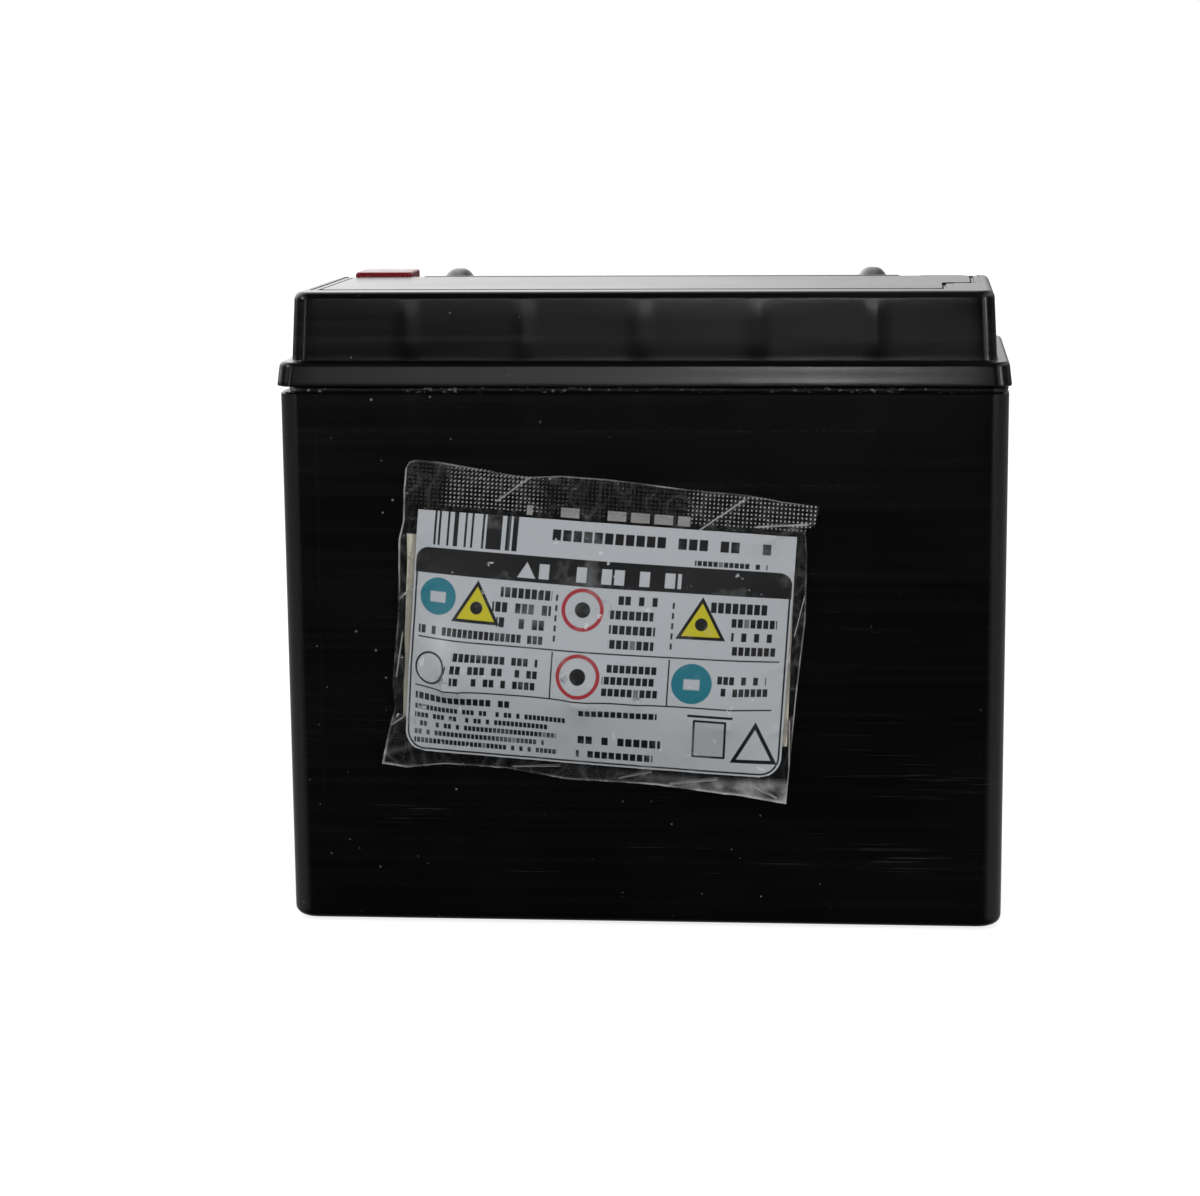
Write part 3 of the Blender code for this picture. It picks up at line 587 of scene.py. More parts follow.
def print_to_bag(across, down):
    """Millimetres across and down on the print, as (x, z) from the bag's own middle, along its own tilt."""
    x = PRINT_CORNER[0] / MM + across * math.cos(PRINT_TILT) - down * math.sin(PRINT_TILT)
    z = PRINT_CORNER[2] / MM - across * math.sin(PRINT_TILT) - down * math.cos(PRINT_TILT)
    x -= BAG_CENTRE[0] / MM
    z -= BAG_CENTRE[2] / MM
    return (x * math.cos(BAG_TILT) - z * math.sin(BAG_TILT), x * math.sin(BAG_TILT) + z * math.cos(BAG_TILT))


def on_face(across, down, height):
    """A point of the bag: millimetres across and down on the print, and out of the bag's back plane."""
    x = PRINT_CORNER[0] + MM * (across * math.cos(PRINT_TILT) - down * math.sin(PRINT_TILT))
    z = PRINT_CORNER[2] - MM * (across * math.sin(PRINT_TILT) + down * math.cos(PRINT_TILT))
    return Vector((x, PRINT_CORNER[1] - MM * height, z))


def contents_height(across, down):
    """Height of the leaflet, bolts and nuts over the back film's plane, on grids of millimetres."""
    x, z = print_to_bag(across, down)
    on_leaflet = (abs(x) < LEAFLET_HALF[0]) & (abs(z - LEAFLET_Z) < LEAFLET_HALF[1])
    height = np.where(on_leaflet, LEAFLET_FRONT, 0.0)
    for place_x, place_z in BOLT_PLACES:
        rise = abs(z - place_z)
        along = x - place_x
        head = BOLT_DEPTH + BOLT_FLATS_HALF - np.maximum(0.0, rise - 2.9) * 1.73
        in_head = (along > BOLT_HEAD[0]) & (along < BOLT_HEAD[1]) & (rise < 5.8)
        shank = BOLT_DEPTH + np.sqrt(np.maximum(BOLT_SHANK_RADIUS ** 2 - rise ** 2, 0.0))
        in_shank = (along > BOLT_HEAD[0]) & (along < BOLT_SHANK_END) & (rise < BOLT_SHANK_RADIUS)
        height = np.where(in_head, np.maximum(height, head), height)
        height = np.where(in_shank, np.maximum(height, shank), height)
    for place_x, place_z in NUT_PLACES:
        on_nut = (abs(x - place_x) < NUT_HALF) & (abs(z - place_z) < NUT_HALF)
        height = np.where(on_nut, np.maximum(height, NUT_FRONT), height)
    return height


def neighbour_mean(height):
    mean = height.copy()
    mean[1:-1, 1:-1] = (height[:-2, 1:-1] + height[2:, 1:-1] + height[1:-1, :-2] + height[1:-1, 2:]) / 4
    return mean


def film_field():
    """The front film's height as a skin pulled tight over the bag's contents and blown out a little."""
    across = np.arange(FIELD_LOW[0], FIELD_HIGH[0] + FIELD_STEP / 2, FIELD_STEP)
    down = np.arange(FIELD_LOW[1], FIELD_HIGH[1] + FIELD_STEP / 2, FIELD_STEP)
    grid_across, grid_down = np.meshgrid(across, down)
    inside = ((grid_across > SEAL_LEFT) & (grid_across < SEAL_RIGHT)
              & (grid_down > SEAL_TOP) & (grid_down < SEAL_BOTTOM))
    solid = contents_height(grid_across, grid_down) + SEALED_HEIGHT / 2
    height = np.full(inside.shape, SEALED_HEIGHT)
    lift = FILL_PRESSURE * FIELD_STEP ** 2 / 4
    for sweep in range(FIELD_SWEEPS):
        height = np.where(inside, np.maximum(neighbour_mean(height) + lift, solid), SEALED_HEIGHT)
    for sweep in range(SMOOTHING_SWEEPS):
        height = np.maximum(neighbour_mean(height), solid)
    return height


def sample(field, across, down):
    """The field's height between its grid points."""
    column = (across - FIELD_LOW[0]) / FIELD_STEP
    row = (down - FIELD_LOW[1]) / FIELD_STEP
    left = int(clamp(column, 0.0, field.shape[1] - 2))
    above = int(clamp(row, 0.0, field.shape[0] - 2))
    share_x, share_y = column - left, row - above
    top = field[above, left] * (1 - share_x) + field[above, left + 1] * share_x
    bottom = field[above + 1, left] * (1 - share_x) + field[above + 1, left + 1] * share_x
    return top * (1 - share_y) + bottom * share_y


def crease_height(across, down):
    total = 0.0
    for start, end, half_width, height in CREASES:
        run = Vector(end) - Vector(start)
        offset = Vector((across, down)) - Vector(start)
        share = clamp(offset.dot(run) / run.length_squared)
        away = (offset - run * share).length
        total += height * math.exp(-((away / half_width) ** 2)) * (1.0 - 0.75 * share)
    return total


def past_seal(across, down):
    """How far a point is outside the sealed pouch, in millimetres, negative inside it."""
    return max(SEAL_LEFT - across, across - SEAL_RIGHT, SEAL_TOP - down, down - SEAL_BOTTOM)


def wrinkle(across, down):
    """Sharp little folds where the film is gathered, from 0 to 1."""
    gathered = clamp((past_seal(across, down) + 7.0) / 7.0)
    ridge = 1.0 - abs(wave(across, down, 0.0, 0.17, 2.6))
    cross = 1.0 - abs(wave(across, down * 0.6, 0.0, 0.33, 8.1))
    return gathered * max(ridge ** 14, 0.7 * cross ** 16)


def film_height(field, across, down):
    """Height of the front film in millimetres, with its knurled seal, its creases and its loose edges."""
    edge = past_seal(across, down)
    crumple = clamp((edge + 6.0) / 6.0, 0.12)
    height = sample(field, across, down)
    height += 0.30 * crumple * wave(across, down, 0.0, 0.16, 2.0)
    height += 0.18 * crumple * wave(across, down, 0.0, 0.42)
    height += 0.10 * wave(across, down, 0.0, 0.11, 9.0)
    height += crease_height(across, down) + 0.35 * wrinkle(across, down)
    if down < BAND_BOTTOM + KNURL_FADE:
        phase = math.pi / KNURL_PITCH
        knurl = abs(math.sin(across * phase)) * abs(math.sin(down * phase))
        height += KNURL_HEIGHT * knurl * clamp((BAND_BOTTOM + KNURL_FADE - down) / KNURL_FADE)
    if edge > 0.0:
        height += 0.22 * edge * (0.55 + wave(across, down, 0.0, 0.07, 6.0))
    return max(height, LEAST_HEIGHT)


def film_highlight(across, down, rim):
    """Painted highlight on the film, from 0 to 1, where it is folded, stretched, cut, or bunched up along the
    lower right.
    """
    painted_highlight = 0.25 * wrinkle(across, down) + 0.45 * crease_height(across, down) + rim
    low = clamp((down - PRINT_SIZE[1]) / 2.0)
    bunched = 0.01 + 0.85 * max(0.0, (across - 25.0) / 67.0) ** 1.5
    return clamp(painted_highlight + low * bunched * (0.8 + wave(across, down, 0.0, 0.2, 5.0)))


def edge_at(points, where):
    places, values = zip(*points)
    return float(np.interp(where, places, values))


def film_grid():
    """Nominal columns and rows, fine enough for the knurling in the seal, with the print's edges on them."""
    width, depth = PRINT_SIZE
    columns = np.concatenate([
        [NOMINAL_LEFT], np.linspace(NOMINAL_LEFT + CUT_LINE, 0.0, 14)[:-1], np.linspace(0.0, width, 272)[:-1],
        np.linspace(width, NOMINAL_RIGHT - CUT_LINE, 12), [NOMINAL_RIGHT]])
    rows = np.concatenate([
        [NOMINAL_TOP], np.linspace(NOMINAL_TOP + CUT_LINE, -1.0, 36)[:-1], np.linspace(-1.0, 0.0, 3)[:-1],
        np.linspace(0.0, depth, 100)[:-1], np.linspace(depth, NOMINAL_BOTTOM - CUT_LINE, 13),
        [NOMINAL_BOTTOM]])
    return columns, rows


def ragged(across, down):
    """Moves a nominal grid point outside the print to where the bag's ragged outline takes it."""
    width, depth = PRINT_SIZE
    moved_across, moved_down = across, down
    if across < 0.0:
        moved_across = across / NOMINAL_LEFT * edge_at(LEFT_EDGE, down)
    if across > width:
        share = (across - width) / (NOMINAL_RIGHT - width)
        moved_across = width + share * (edge_at(RIGHT_EDGE, down) - width)
    if down < 0.0:
        moved_down = down / NOMINAL_TOP * edge_at(TOP_EDGE, moved_across)
    if down > depth:
        share = (down - depth) / (NOMINAL_BOTTOM - depth)
        moved_down = depth + share * (edge_at(BOTTOM_EDGE, moved_across) - depth)
    return moved_across, moved_down


def sheet_mesh(name, columns, rows, place):
    """A grid of quads through place(across, down), which gives across, down, height and painted highlight."""
    bm = bmesh.new()
    layer = bm.loops.layers.uv.new("print_mm")
    painted_highlight = bm.verts.layers.float.new("painted_highlight")
    plan = {}
    grid = []
    for down in rows:
        line = []
        for across in columns:
            spot = place(across, down)
            vert = bm.verts.new(on_face(*spot[:3]))
            vert[painted_highlight] = spot[3]
            plan[vert] = spot[:2]
            line.append(vert)
        grid.append(line)
    for above, below in zip(grid, grid[1:]):
        for index in range(len(above) - 1):
            bm.faces.new((above[index], below[index], below[index + 1], above[index + 1]))
    for face in bm.faces:
        for corner in face.loops:
            corner[layer].uv = plan[corner.vert]
    bmesh.ops.remove_doubles(bm, verts=bm.verts, dist=0.000004)
    return add_object(name, bm)


def ride_bag(item, *nodes, slot):
    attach(item, "bag")
    if nodes:
        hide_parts(*nodes)


def make_front_film(field):
    columns, rows = film_grid()

    def place(across, down):
        at_edge = across in (columns[0], columns[-1]) or down in (rows[0], rows[-1])
        by_edge = across in (columns[1], columns[-2]) or down in (rows[1], rows[-2])
        across, down = ragged(across, down)
        height = film_height(field, across, down) + (CUT_CURL if at_edge else 0.0)
        # a painted highlight line along the cut edges, brighter in places
        cut = 0.50 + 0.9 * wave(across, down, 0.0, 0.11, 14.0) if at_edge or by_edge else 0.0
        return across, down, height, film_highlight(across, down, max(cut, 0.0))

    film = sheet_mesh("bag_front_film", columns, rows, place)
    ride_bag(film, "fastener_bag", slot="clear_film")
    return shade(film, FINISHES["film"], sharp=180, weighted=False)


def make_print(field):
    """The printed layer, just proud of the film, with round lower corners."""
    width, depth = PRINT_SIZE

    def place(across, down):
        from_foot = max(0.0, down - (depth - PRINT_ROUNDING))
        inset = PRINT_ROUNDING - math.sqrt(max(PRINT_ROUNDING ** 2 - from_foot ** 2, 0.0))
        across = clamp(across, inset, width - inset)
        return across, down, film_height(field, across, down) + PRINT_LIFT, 0.0

    columns, rows = film_grid()
    columns = [across for across in columns if 0.0 <= across <= width]
    rows = [down for down in rows if 0.0 <= down <= depth]
    panel = sheet_mesh("printed_panel", columns, rows, place)
    ride_bag(panel, slot="printed_panel")
    shade(panel, FINISHES["print"][0], sharp=180, weighted=False)
    for finish in FINISHES["print"][1:]:
        panel.data.materials.append(finish)
    plan = panel.data.uv_layers["print_mm"].uv
    for face in panel.data.polygons:
        middle = sum(plan[corner].vector.y for corner in face.loop_indices) / face.loop_total
        face.material_index = sum(middle > edge for edge in BANDS[1:-1])
    return panel


def make_back_film():
    def place(across, down):
        across, down = ragged(across, down)
        height = 0.08 + 0.08 * wave(across, down, 0.0, 0.2, 12.0)
        return across * 1.006 - 0.35, down * 1.004 + 0.2, height, 0.0

    columns = np.linspace(NOMINAL_LEFT, NOMINAL_RIGHT, 90)
    rows = np.linspace(NOMINAL_TOP, NOMINAL_BOTTOM, 70)
    film = sheet_mesh("bag_back_film", columns, rows, place)
    ride_bag(film, slot="clear_film")
    return shade(film, FINISHES["film"], sharp=180, weighted=False)


def make_leaflet():
    def place(across, down):
        slant = across + LEAFLET_SLANT * (down - LEAFLET_MIDDLE) + 0.3 * wave(across, down, 0.0, 0.12, 7.0)
        return slant, down, LEAFLET_PLANE + 0.35 * wave(across, down, 0.0, 0.09, 5.0), 0.0

    columns, rows = np.linspace(*LEAFLET_ACROSS, 80), np.linspace(*LEAFLET_DOWN, 40)
    leaflet = sheet_mesh("leaflet_sheet", columns, rows, place)
    ride_bag(leaflet, "instruction_leaflet", slot="leaflet_paper")
    thick = leaflet.modifiers.new("folded_thickness", "SOLIDIFY")
    thick.thickness = LEAFLET_THICKNESS
    thick.offset = 0.0
    return shade(leaflet, FINISHES["paper"], sharp=60, weighted=False)


def make_adhesive():
    """The glue pad behind the bag, with an uneven edge."""
    pad = rounded_block("glue_pad", GLUE_HALF, 0.0, GLUE_THICKNESS, GLUE_CORNER, 0.0001, steps=8)
    for vert in pad.data.vertices:
        vert.co.x *= 1.0 + 0.012 * wave(*vert.co, 130.0)
        vert.co.y *= 1.0 + 0.016 * wave(*vert.co, 110.0, 4.0)
    upright = Matrix.Rotation(BAG_TILT, 4, "Y") @ Matrix.Translation(GLUE_PLACE)
    pad.data.transform(Matrix.Translation(BAG_CENTRE) @ upright @ Matrix.Rotation(math.pi / 2, 4, "X"))
    ride_bag(pad, "bag_adhesive", slot="adhesive")
    return shade(pad, FINISHES["glue"], weighted=False)


# ---- materials

def connect(tree, value, target):
    """Feeds an input from a Value or another node's output, or sets it."""
    if isinstance(value, Value):
        value = value.socket
    if isinstance(value, bpy.types.NodeSocket):
        tree.links.new(value, target)
    else:
        target.default_value = value


class Value:
    """A number in a node tree. Arithmetic on it adds Math nodes."""

    def __init__(self, tree, socket):
        self.tree = tree
        self.socket = socket

    def apply(self, operation, *others, clamp=False):
        node = self.tree.nodes.new("ShaderNodeMath")
        node.operation = operation
        node.use_clamp = clamp
        for target, value in zip(node.inputs, (self,) + others):
            connect(self.tree, value, target)
        return Value(self.tree, node.outputs[0])

    def __add__(self, other):
        return self.apply("ADD", other)

    def __sub__(self, other):
        return self.apply("SUBTRACT", other)

    def __mul__(self, other):
        return self.apply("MULTIPLY", other)

    def least(self, other):
        return self.apply("MINIMUM", other)

    def most(self, other):
        return self.apply("MAXIMUM", other)

    def rises(self, edge, blur):
        """0 below the edge and 1 above it, over a width of blur."""
        return self.apply("MULTIPLY_ADD", 1.0 / blur, 0.5 - edge / blur, clamp=True)

    def falls(self, edge, blur):
        return self.apply("MULTIPLY_ADD", -1.0 / blur, 0.5 + edge / blur, clamp=True)

    def near(self, middle, half, blur):
        """1 within half of the middle."""
        return (self - middle).apply("ABSOLUTE").falls(half, blur)


class Finish:
    """A Principled material, with short ways to lay patterns in the piece's own metres."""

    def __init__(self, name, colour, roughness, **settings):
        self.material = bpy.data.materials.new(name)
        self.material.use_nodes = True
        self.tree = self.material.node_tree
        self.shader = self.tree.nodes["Principled BSDF"]
        self.shader.inputs["Base Color"].default_value = (*colour, 1.0)
        self.shader.inputs["Roughness"].default_value = roughness
        for words, value in settings.items():
            self.shader.inputs[words.replace("_", " ").title().replace("Ior", "IOR")].default_value = value
        self.colour = (*colour, 1.0)
        self.space = self.tree.nodes.new("ShaderNodeTexCoord").outputs["Object"]

    def add(self, kind, inputs, **settings):
        node = self.tree.nodes.new(kind)
        for key, value in settings.items():
            setattr(node, key, value)
        for key, value in inputs.items():
            connect(self.tree, value, node.inputs[key])
        return node

    def stretched(self, stretch, shift):
        inputs = {"Vector": self.space, "Scale": stretch, "Location": shift}
        return self.add("ShaderNodeMapping", inputs).outputs[0]

    def noise(self, scale, detail=2.0, stretch=(1.0, 1.0, 1.0), seed=0.0, rough=0.5):
        vector = self.stretched(stretch, (seed, -seed, 2 * seed))
        node = self.add("ShaderNodeTexNoise", {
            "Vector": vector, "Scale": scale, "Detail": detail, "Roughness": rough})
        return Value(self.tree, node.outputs[0])

    def spots(self, scale, size, seed=0.0, stretch=(1.0, 1.0, 1.0)):
        """Scattered specks of different sizes, at most size across as a share of their spacing."""
        vector = self.stretched(stretch, (seed, seed, seed))
        node = self.add("ShaderNodeTexVoronoi", {"Vector": vector, "Scale": scale})
        distance = Value(self.tree, node.outputs["Distance"])
        parts = self.add("ShaderNodeSeparateColor", {"Color": node.outputs["Color"]})
        size_share = Value(self.tree, parts.outputs[0]).apply("POWER", 6.0)
        return (distance - size_share * size).falls(0.0, 0.02)

    def axis(self, index):
        return Value(self.tree, self.add("ShaderNodeSeparateXYZ", {"Vector": self.space}).outputs[index])

    def paint(self, colour, mask):
        """Lays a colour over what is there, where the mask is 1."""
        if mask is None:
            return
        node = self.add("ShaderNodeMix", {}, data_type="RGBA")
        connect(self.tree, mask, node.inputs["Factor"])
        connect(self.tree, self.colour, node.inputs[6])
        node.inputs[7].default_value = (*colour, 1.0)
        self.colour = Value(self.tree, node.outputs[2])
        connect(self.tree, self.colour, self.shader.inputs["Base Color"])

    def roughen(self, value):
        connect(self.tree, value, self.shader.inputs["Roughness"])

    def relief(self, height, depth):
        """Bump whose height of 1 stands depth metres proud."""
        node = self.add("ShaderNodeBump", {"Height": height, "Strength": 1.0, "Distance": depth})
        if self.shader.inputs["Normal"].links:
            self.tree.links.new(self.shader.inputs["Normal"].links[0].from_socket, node.inputs["Normal"])
        self.tree.links.new(node.outputs[0], self.shader.inputs["Normal"])


def black_moulding(name, level, roughness, streaked=0.5, scratched=False, specked=False):
    """Semi-gloss black polypropylene with flow marks and dust, and level scratches or light grey specks where
    asked.
    """
    finish = Finish(name, (level, level, level * 1.06), roughness)
    flow = finish.noise(22.0, 3.0, (1.0, 1.0, 2.2))
    grain = finish.noise(1500.0, 3.0, seed=3.0)
    streaks = finish.noise(1.0, 1.0, (7.0, 7.0, 620.0), 6.0)
    rough = (flow - 0.5) * 0.08 + (grain - 0.5) * 0.06 + (streaks - 0.5) * 0.12 + roughness
    finish.paint((level * 1.7, level * 1.75, level * 1.9), flow.rises(0.56, 0.25) * 0.6)
    finish.paint((level * 3.2, level * 3.2, level * 3.1), streaks.rises(0.56, 0.14) * streaked)
    dust_and_specks = finish.spots(420.0, 0.15, 1.7) * finish.noise(14.0, 2.0, seed=8.0).rises(0.5, 0.2)
    if scratched:
        height = finish.axis(2)
        lines = finish.noise(1.0, 3.0, (40.0, 40.0, 5200.0), 11.0).rises(0.66, 0.05)
        patch = finish.noise(26.0, 2.0, (1.0, 1.0, 2.6), 5.0).rises(0.58, 0.08)
        low = height.near(0.026, 0.016, 0.010).most(height.near(0.060, 0.030, 0.030) * 0.25)
        scratches = lines * patch * low
        finish.paint((0.035, 0.035, 0.037), scratches * 0.8)
        rough = rough + scratches * 0.2
    if specked:
        # light grey specks laid over the dust
        patches = finish.noise(60.0, 2.0, seed=7.0).rises(0.45, 0.12)
        dust_and_specks = dust_and_specks.most(finish.spots(1500.0, 0.75, 4.0) * patches)
    finish.paint((0.30, 0.30, 0.29), dust_and_specks * 0.55)
    finish.roughen(rough)
    finish.relief(flow, 0.00012)
    finish.relief(grain, 0.000006)
    return finish.material


def red_moulding():
    finish = Finish("red_moulding", (0.26, 0.008, 0.014), 0.24)
    flow = finish.noise(160.0, 3.0)
    finish.paint((0.18, 0.006, 0.010), flow.rises(0.55, 0.3) * 0.6)
    finish.paint((0.55, 0.20, 0.20), finish.spots(420.0, 0.3, 2.0) * 0.3)
    finish.roughen((flow - 0.5) * 0.2 + 0.24)
    finish.relief(finish.noise(2200.0, 2.0), 0.000006)
    return finish.material


def cast_lead():
    finish = Finish("cast_lead", (0.36, 0.36, 0.38), 0.5, metallic=1.0)
    tarnish = finish.noise(180.0, 4.0, rough=0.6)
    finish.paint((0.17, 0.17, 0.185), tarnish.rises(0.52, 0.25))
    finish.paint((0.62, 0.62, 0.63), finish.noise(90.0, 3.0, (1.0, 1.0, 14.0), 6.0).rises(0.66, 0.05) * 0.6)
    finish.roughen((tarnish - 0.5) * 0.5 + 0.5)
    finish.relief(finish.noise(900.0, 4.0, seed=2.0), 0.00003)
    return finish.material


def plated_steel():
    finish = Finish("zinc_plated_steel", (0.62, 0.62, 0.60), 0.3, metallic=1.0)
    passivation = finish.noise(260.0, 3.0)
    finish.paint((0.58, 0.60, 0.66), passivation.rises(0.5, 0.4))
    finish.paint((0.34, 0.33, 0.31), finish.noise(700.0, 3.0, seed=4.0).rises(0.66, 0.08) * 0.6)
    finish.roughen((passivation - 0.5) * 0.3 + 0.3)
    finish.relief(finish.noise(1600.0, 2.0, (1.0, 6.0, 6.0)), 0.000008)
    return finish.material


def epoxy(name, colour):
    finish = Finish(name, colour, 0.16)
    cloud = finish.noise(420.0, 3.0)
    finish.paint(tuple(0.5 * part for part in colour), cloud.rises(0.5, 0.4))
    finish.paint((0.5, 0.5, 0.5), finish.spots(900.0, 0.4, 3.0) * 0.25)
    finish.roughen((cloud - 0.5) * 0.2 + 0.16)
    finish.relief(cloud, 0.00015)
    return finish.material


def valve_rubber():
    finish = Finish("valve_rubber", (0.018, 0.018, 0.018), 0.75)
    bloom = finish.noise(300.0, 3.0)
    finish.paint((0.05, 0.05, 0.048), bloom.rises(0.55, 0.2) * 0.6)
    finish.roughen((bloom - 0.5) * 0.3 + 0.75)
    finish.relief(finish.noise(2500.0, 3.0), 0.00002)
    return finish.material


def pasted_plate(name, colour, cracked):
    """Active paste pressed into a lead grid, whose wires show through as a lattice."""
    finish = Finish(name, colour, 0.85, metallic=0.2)
    paste = finish.noise(600.0, 4.0)
    finish.paint(tuple(0.55 * part for part in colour), paste.rises(0.5, 0.3))
    lattice = None
    for index, pitch in ((1, 0.0065), (2, 0.0048)):
        phase = (finish.axis(index) * (1.0 / pitch)).apply("FRACT")
        wire = phase.near(0.5, 0.07, 0.05)
        lattice = wire if lattice is None else lattice.most(wire)
    finish.paint((0.30, 0.30, 0.32), lattice * 0.45)
    finish.roughen((paste - 0.5) * 0.3 + 0.85)
    finish.relief(lattice + paste * 0.5, 0.0002 if cracked else 0.00012)
    return finish.material


def glass_mat():
    finish = Finish("glass_mat", (0.82, 0.83, 0.81), 0.95, sheen_weight=0.2)
    fibre = finish.noise(1400.0, 4.0, (1.0, 0.25, 1.0), rough=0.7)
    cross = finish.noise(1400.0, 4.0, (1.0, 1.0, 0.25), 5.0, 0.7)
    finish.paint((0.66, 0.67, 0.64), fibre.rises(0.5, 0.2) * 0.7)
    finish.paint((0.92, 0.93, 0.92), cross.rises(0.58, 0.1) * 0.6)
    finish.relief(fibre + cross, 0.00012)
    return finish.material


def leaflet_paper():
    finish = Finish("leaflet_paper", (0.62, 0.59, 0.48), 0.85)
    fibre = finish.noise(1100.0, 4.0, rough=0.65)
    finish.paint((0.50, 0.47, 0.37), fibre.rises(0.5, 0.3) * 0.5)
    finish.paint((0.70, 0.67, 0.56), finish.noise(60.0, 2.0, seed=3.0).rises(0.52, 0.2) * 0.6)
    finish.relief(fibre, 0.00003)
    return finish.material


def glue():
    finish = Finish("glue_pad", (0.62, 0.58, 0.42), 0.45)
    bubbles = finish.spots(650.0, 0.7, 4.0)
    finish.paint((0.40, 0.37, 0.26), finish.noise(140.0, 3.0).rises(0.5, 0.3) * 0.6)
    finish.paint((0.80, 0.78, 0.66), bubbles * 0.7)
    finish.relief(bubbles, 0.0001)
    return finish.material


# ---- print, in millimetres

WHITE = (0.52, 0.55, 0.58)
INK = (0.012, 0.012, 0.014)
BLUE = (0.012, 0.20, 0.27)
YELLOW = (0.62, 0.56, 0.008)
RED = (0.42, 0.022, 0.035)
STROKE = 0.14  # softness of a printed edge
HEADER = (8.7, 14.8)
BANDS = (-1.0, 15.2, 30.9, 42.4, 60.0)  # one material each: a single one would be too long for the renderer
BAND_OVERLAP = 0.8  # how far a shape beside a band still counts as in it
FILM_ALPHA = 0.22  # how opaque the clear film is
CRUMPLE_DEPTH = 0.0004  # of the bump that stands for its crumples
HIGHLIGHT_ALPHA = 0.62  # how much more so under the painted highlights and the print seen from behind
GLINT_LINES = (  # painted highlights along crisp folds of the film: from, to, half width
    ((26.6, -9.8), (18.6, -3.2), 0.16), ((77.9, -8.2), (66.0, 1.2), 0.18),
    ((93.2, -3.2), (80.5, -1.6), 0.22), ((91.9, 44.0), (92.6, 56.0), 0.16),
    ((52.0, 61.6), (60.0, 58.9), 0.14), ((-3.3, 22.0), (-0.4, 18.6), 0.12),
    ((-2.2, 30.0), (-3.2, 41.0), 0.14), ((-3.9, 53.0), (-0.6, 50.4), 0.14),
    ((93.4, 14.0), (91.6, 24.0), 0.12), ((26.0, 60.8), (38.0, 59.4), 0.12),
    ((64.0, 62.0), (76.0, 59.6), 0.20), ((90.5, 63.6), (83.0, 60.0), 0.22))
WORDS = (  # blocks in place of words: left, right, top, bottom, lines, letter, weight, ragged left
    (32.6, 87.0, 2.0, 5.0, 1, 2.5, 0.85),
    (67.0, 87.0, 6.9, 8.4, 1, 1.25, 0.8),
    (19.7, 33.9, 15.8, 26.4, 3, 1.6, 0.66, True),
    (2.0, 33.8, 26.8, 29.5, 1, 1.3, 0.72),
    (48.0, 60.0, 15.6, 29.4, 4, 1.6, 0.6),
    (71.6, 87.4, 16.2, 19.3, 1, 1.7, 0.8),
    (75.6, 87.4, 19.5, 29.4, 3, 1.5, 0.62, True),
    (11.0, 34.0, 32.2, 40.6, 3, 1.4, 0.66),
    (47.2, 61.2, 32.0, 40.4, 3, 1.5, 0.66),
    (74.2, 87.2, 33.4, 38.9, 2, 1.4, 0.68),
    (2.2, 27.0, 43.2, 45.2, 1, 1.5, 0.85),
    (2.2, 39.6, 45.9, 56.6, 5, 1.0, 0.6),
    (41.6, 63.4, 43.6, 45.5, 1, 1.5, 0.8),
    (41.6, 63.4, 50.5, 52.9, 1, 1.9, 0.85),
    (41.6, 63.4, 54.3, 56.7, 1, 1.7, 0.75))
RULES = (  # left, right, top, bottom
    (2.0, 88.5, 29.85, 30.2), (2.0, 87.5, 41.55, 41.9), (34.8, 35.15, 30.5, 41.8),
    (62.55, 62.9, 30.5, 41.8), (67.8, 78.6, 43.4, 44.0))
DASHED_RULES = ((35.1, 28.4), (62.8, 28.6))  # across, foot
DASHES_TOP = 16.6
STRIPES = (4.0, 24.4, -1.0, 8.0)
BLUE_DISCS = ((6.3, 20.1, 4.4), (68.3, 36.0, 4.8))  # across, down, radius
RING_ACROSS = 41.4
RED_RINGS = ((20.2, 4.6), (35.8, 4.8))  # down, radius
YELLOW_TRIANGLES = (15.9, 69.6)
YELLOW_SHAPE = (15.4, 25.5, 5.9)  # top, bottom, half width
YELLOW_BORDER = 0.75
YELLOW_DOT = (21.9, 1.5)  # down, radius
LINE_CIRCLE = (5.6, 37.0, 3.6, 0.5)
LINE_SQUARE = (69.2, 77.2, 44.6, 54.2, 0.3, 0.55)
LINE_TRIANGLE = (84.0, 44.6, 55.0, 5.6)
LINE_TRIANGLE_WIDTH = 0.9
HEADER_BLOCKS = (30.0, 66.0, 10.1, 14.2, 1, 3.0, 21.0, 0.85)
HEADER_TRIANGLE = (27.3, 10.2, 13.9, 2.2)
BORDER_INSET = 0.45
SCUFFS = (  # dirty rubbed spots: across, down, radius
    (46.3, 19.7, 2.4), (9.7, 38.5, 2.6), (37.5, 36.6, 2.0), (55.7, 40.0, 1.8))


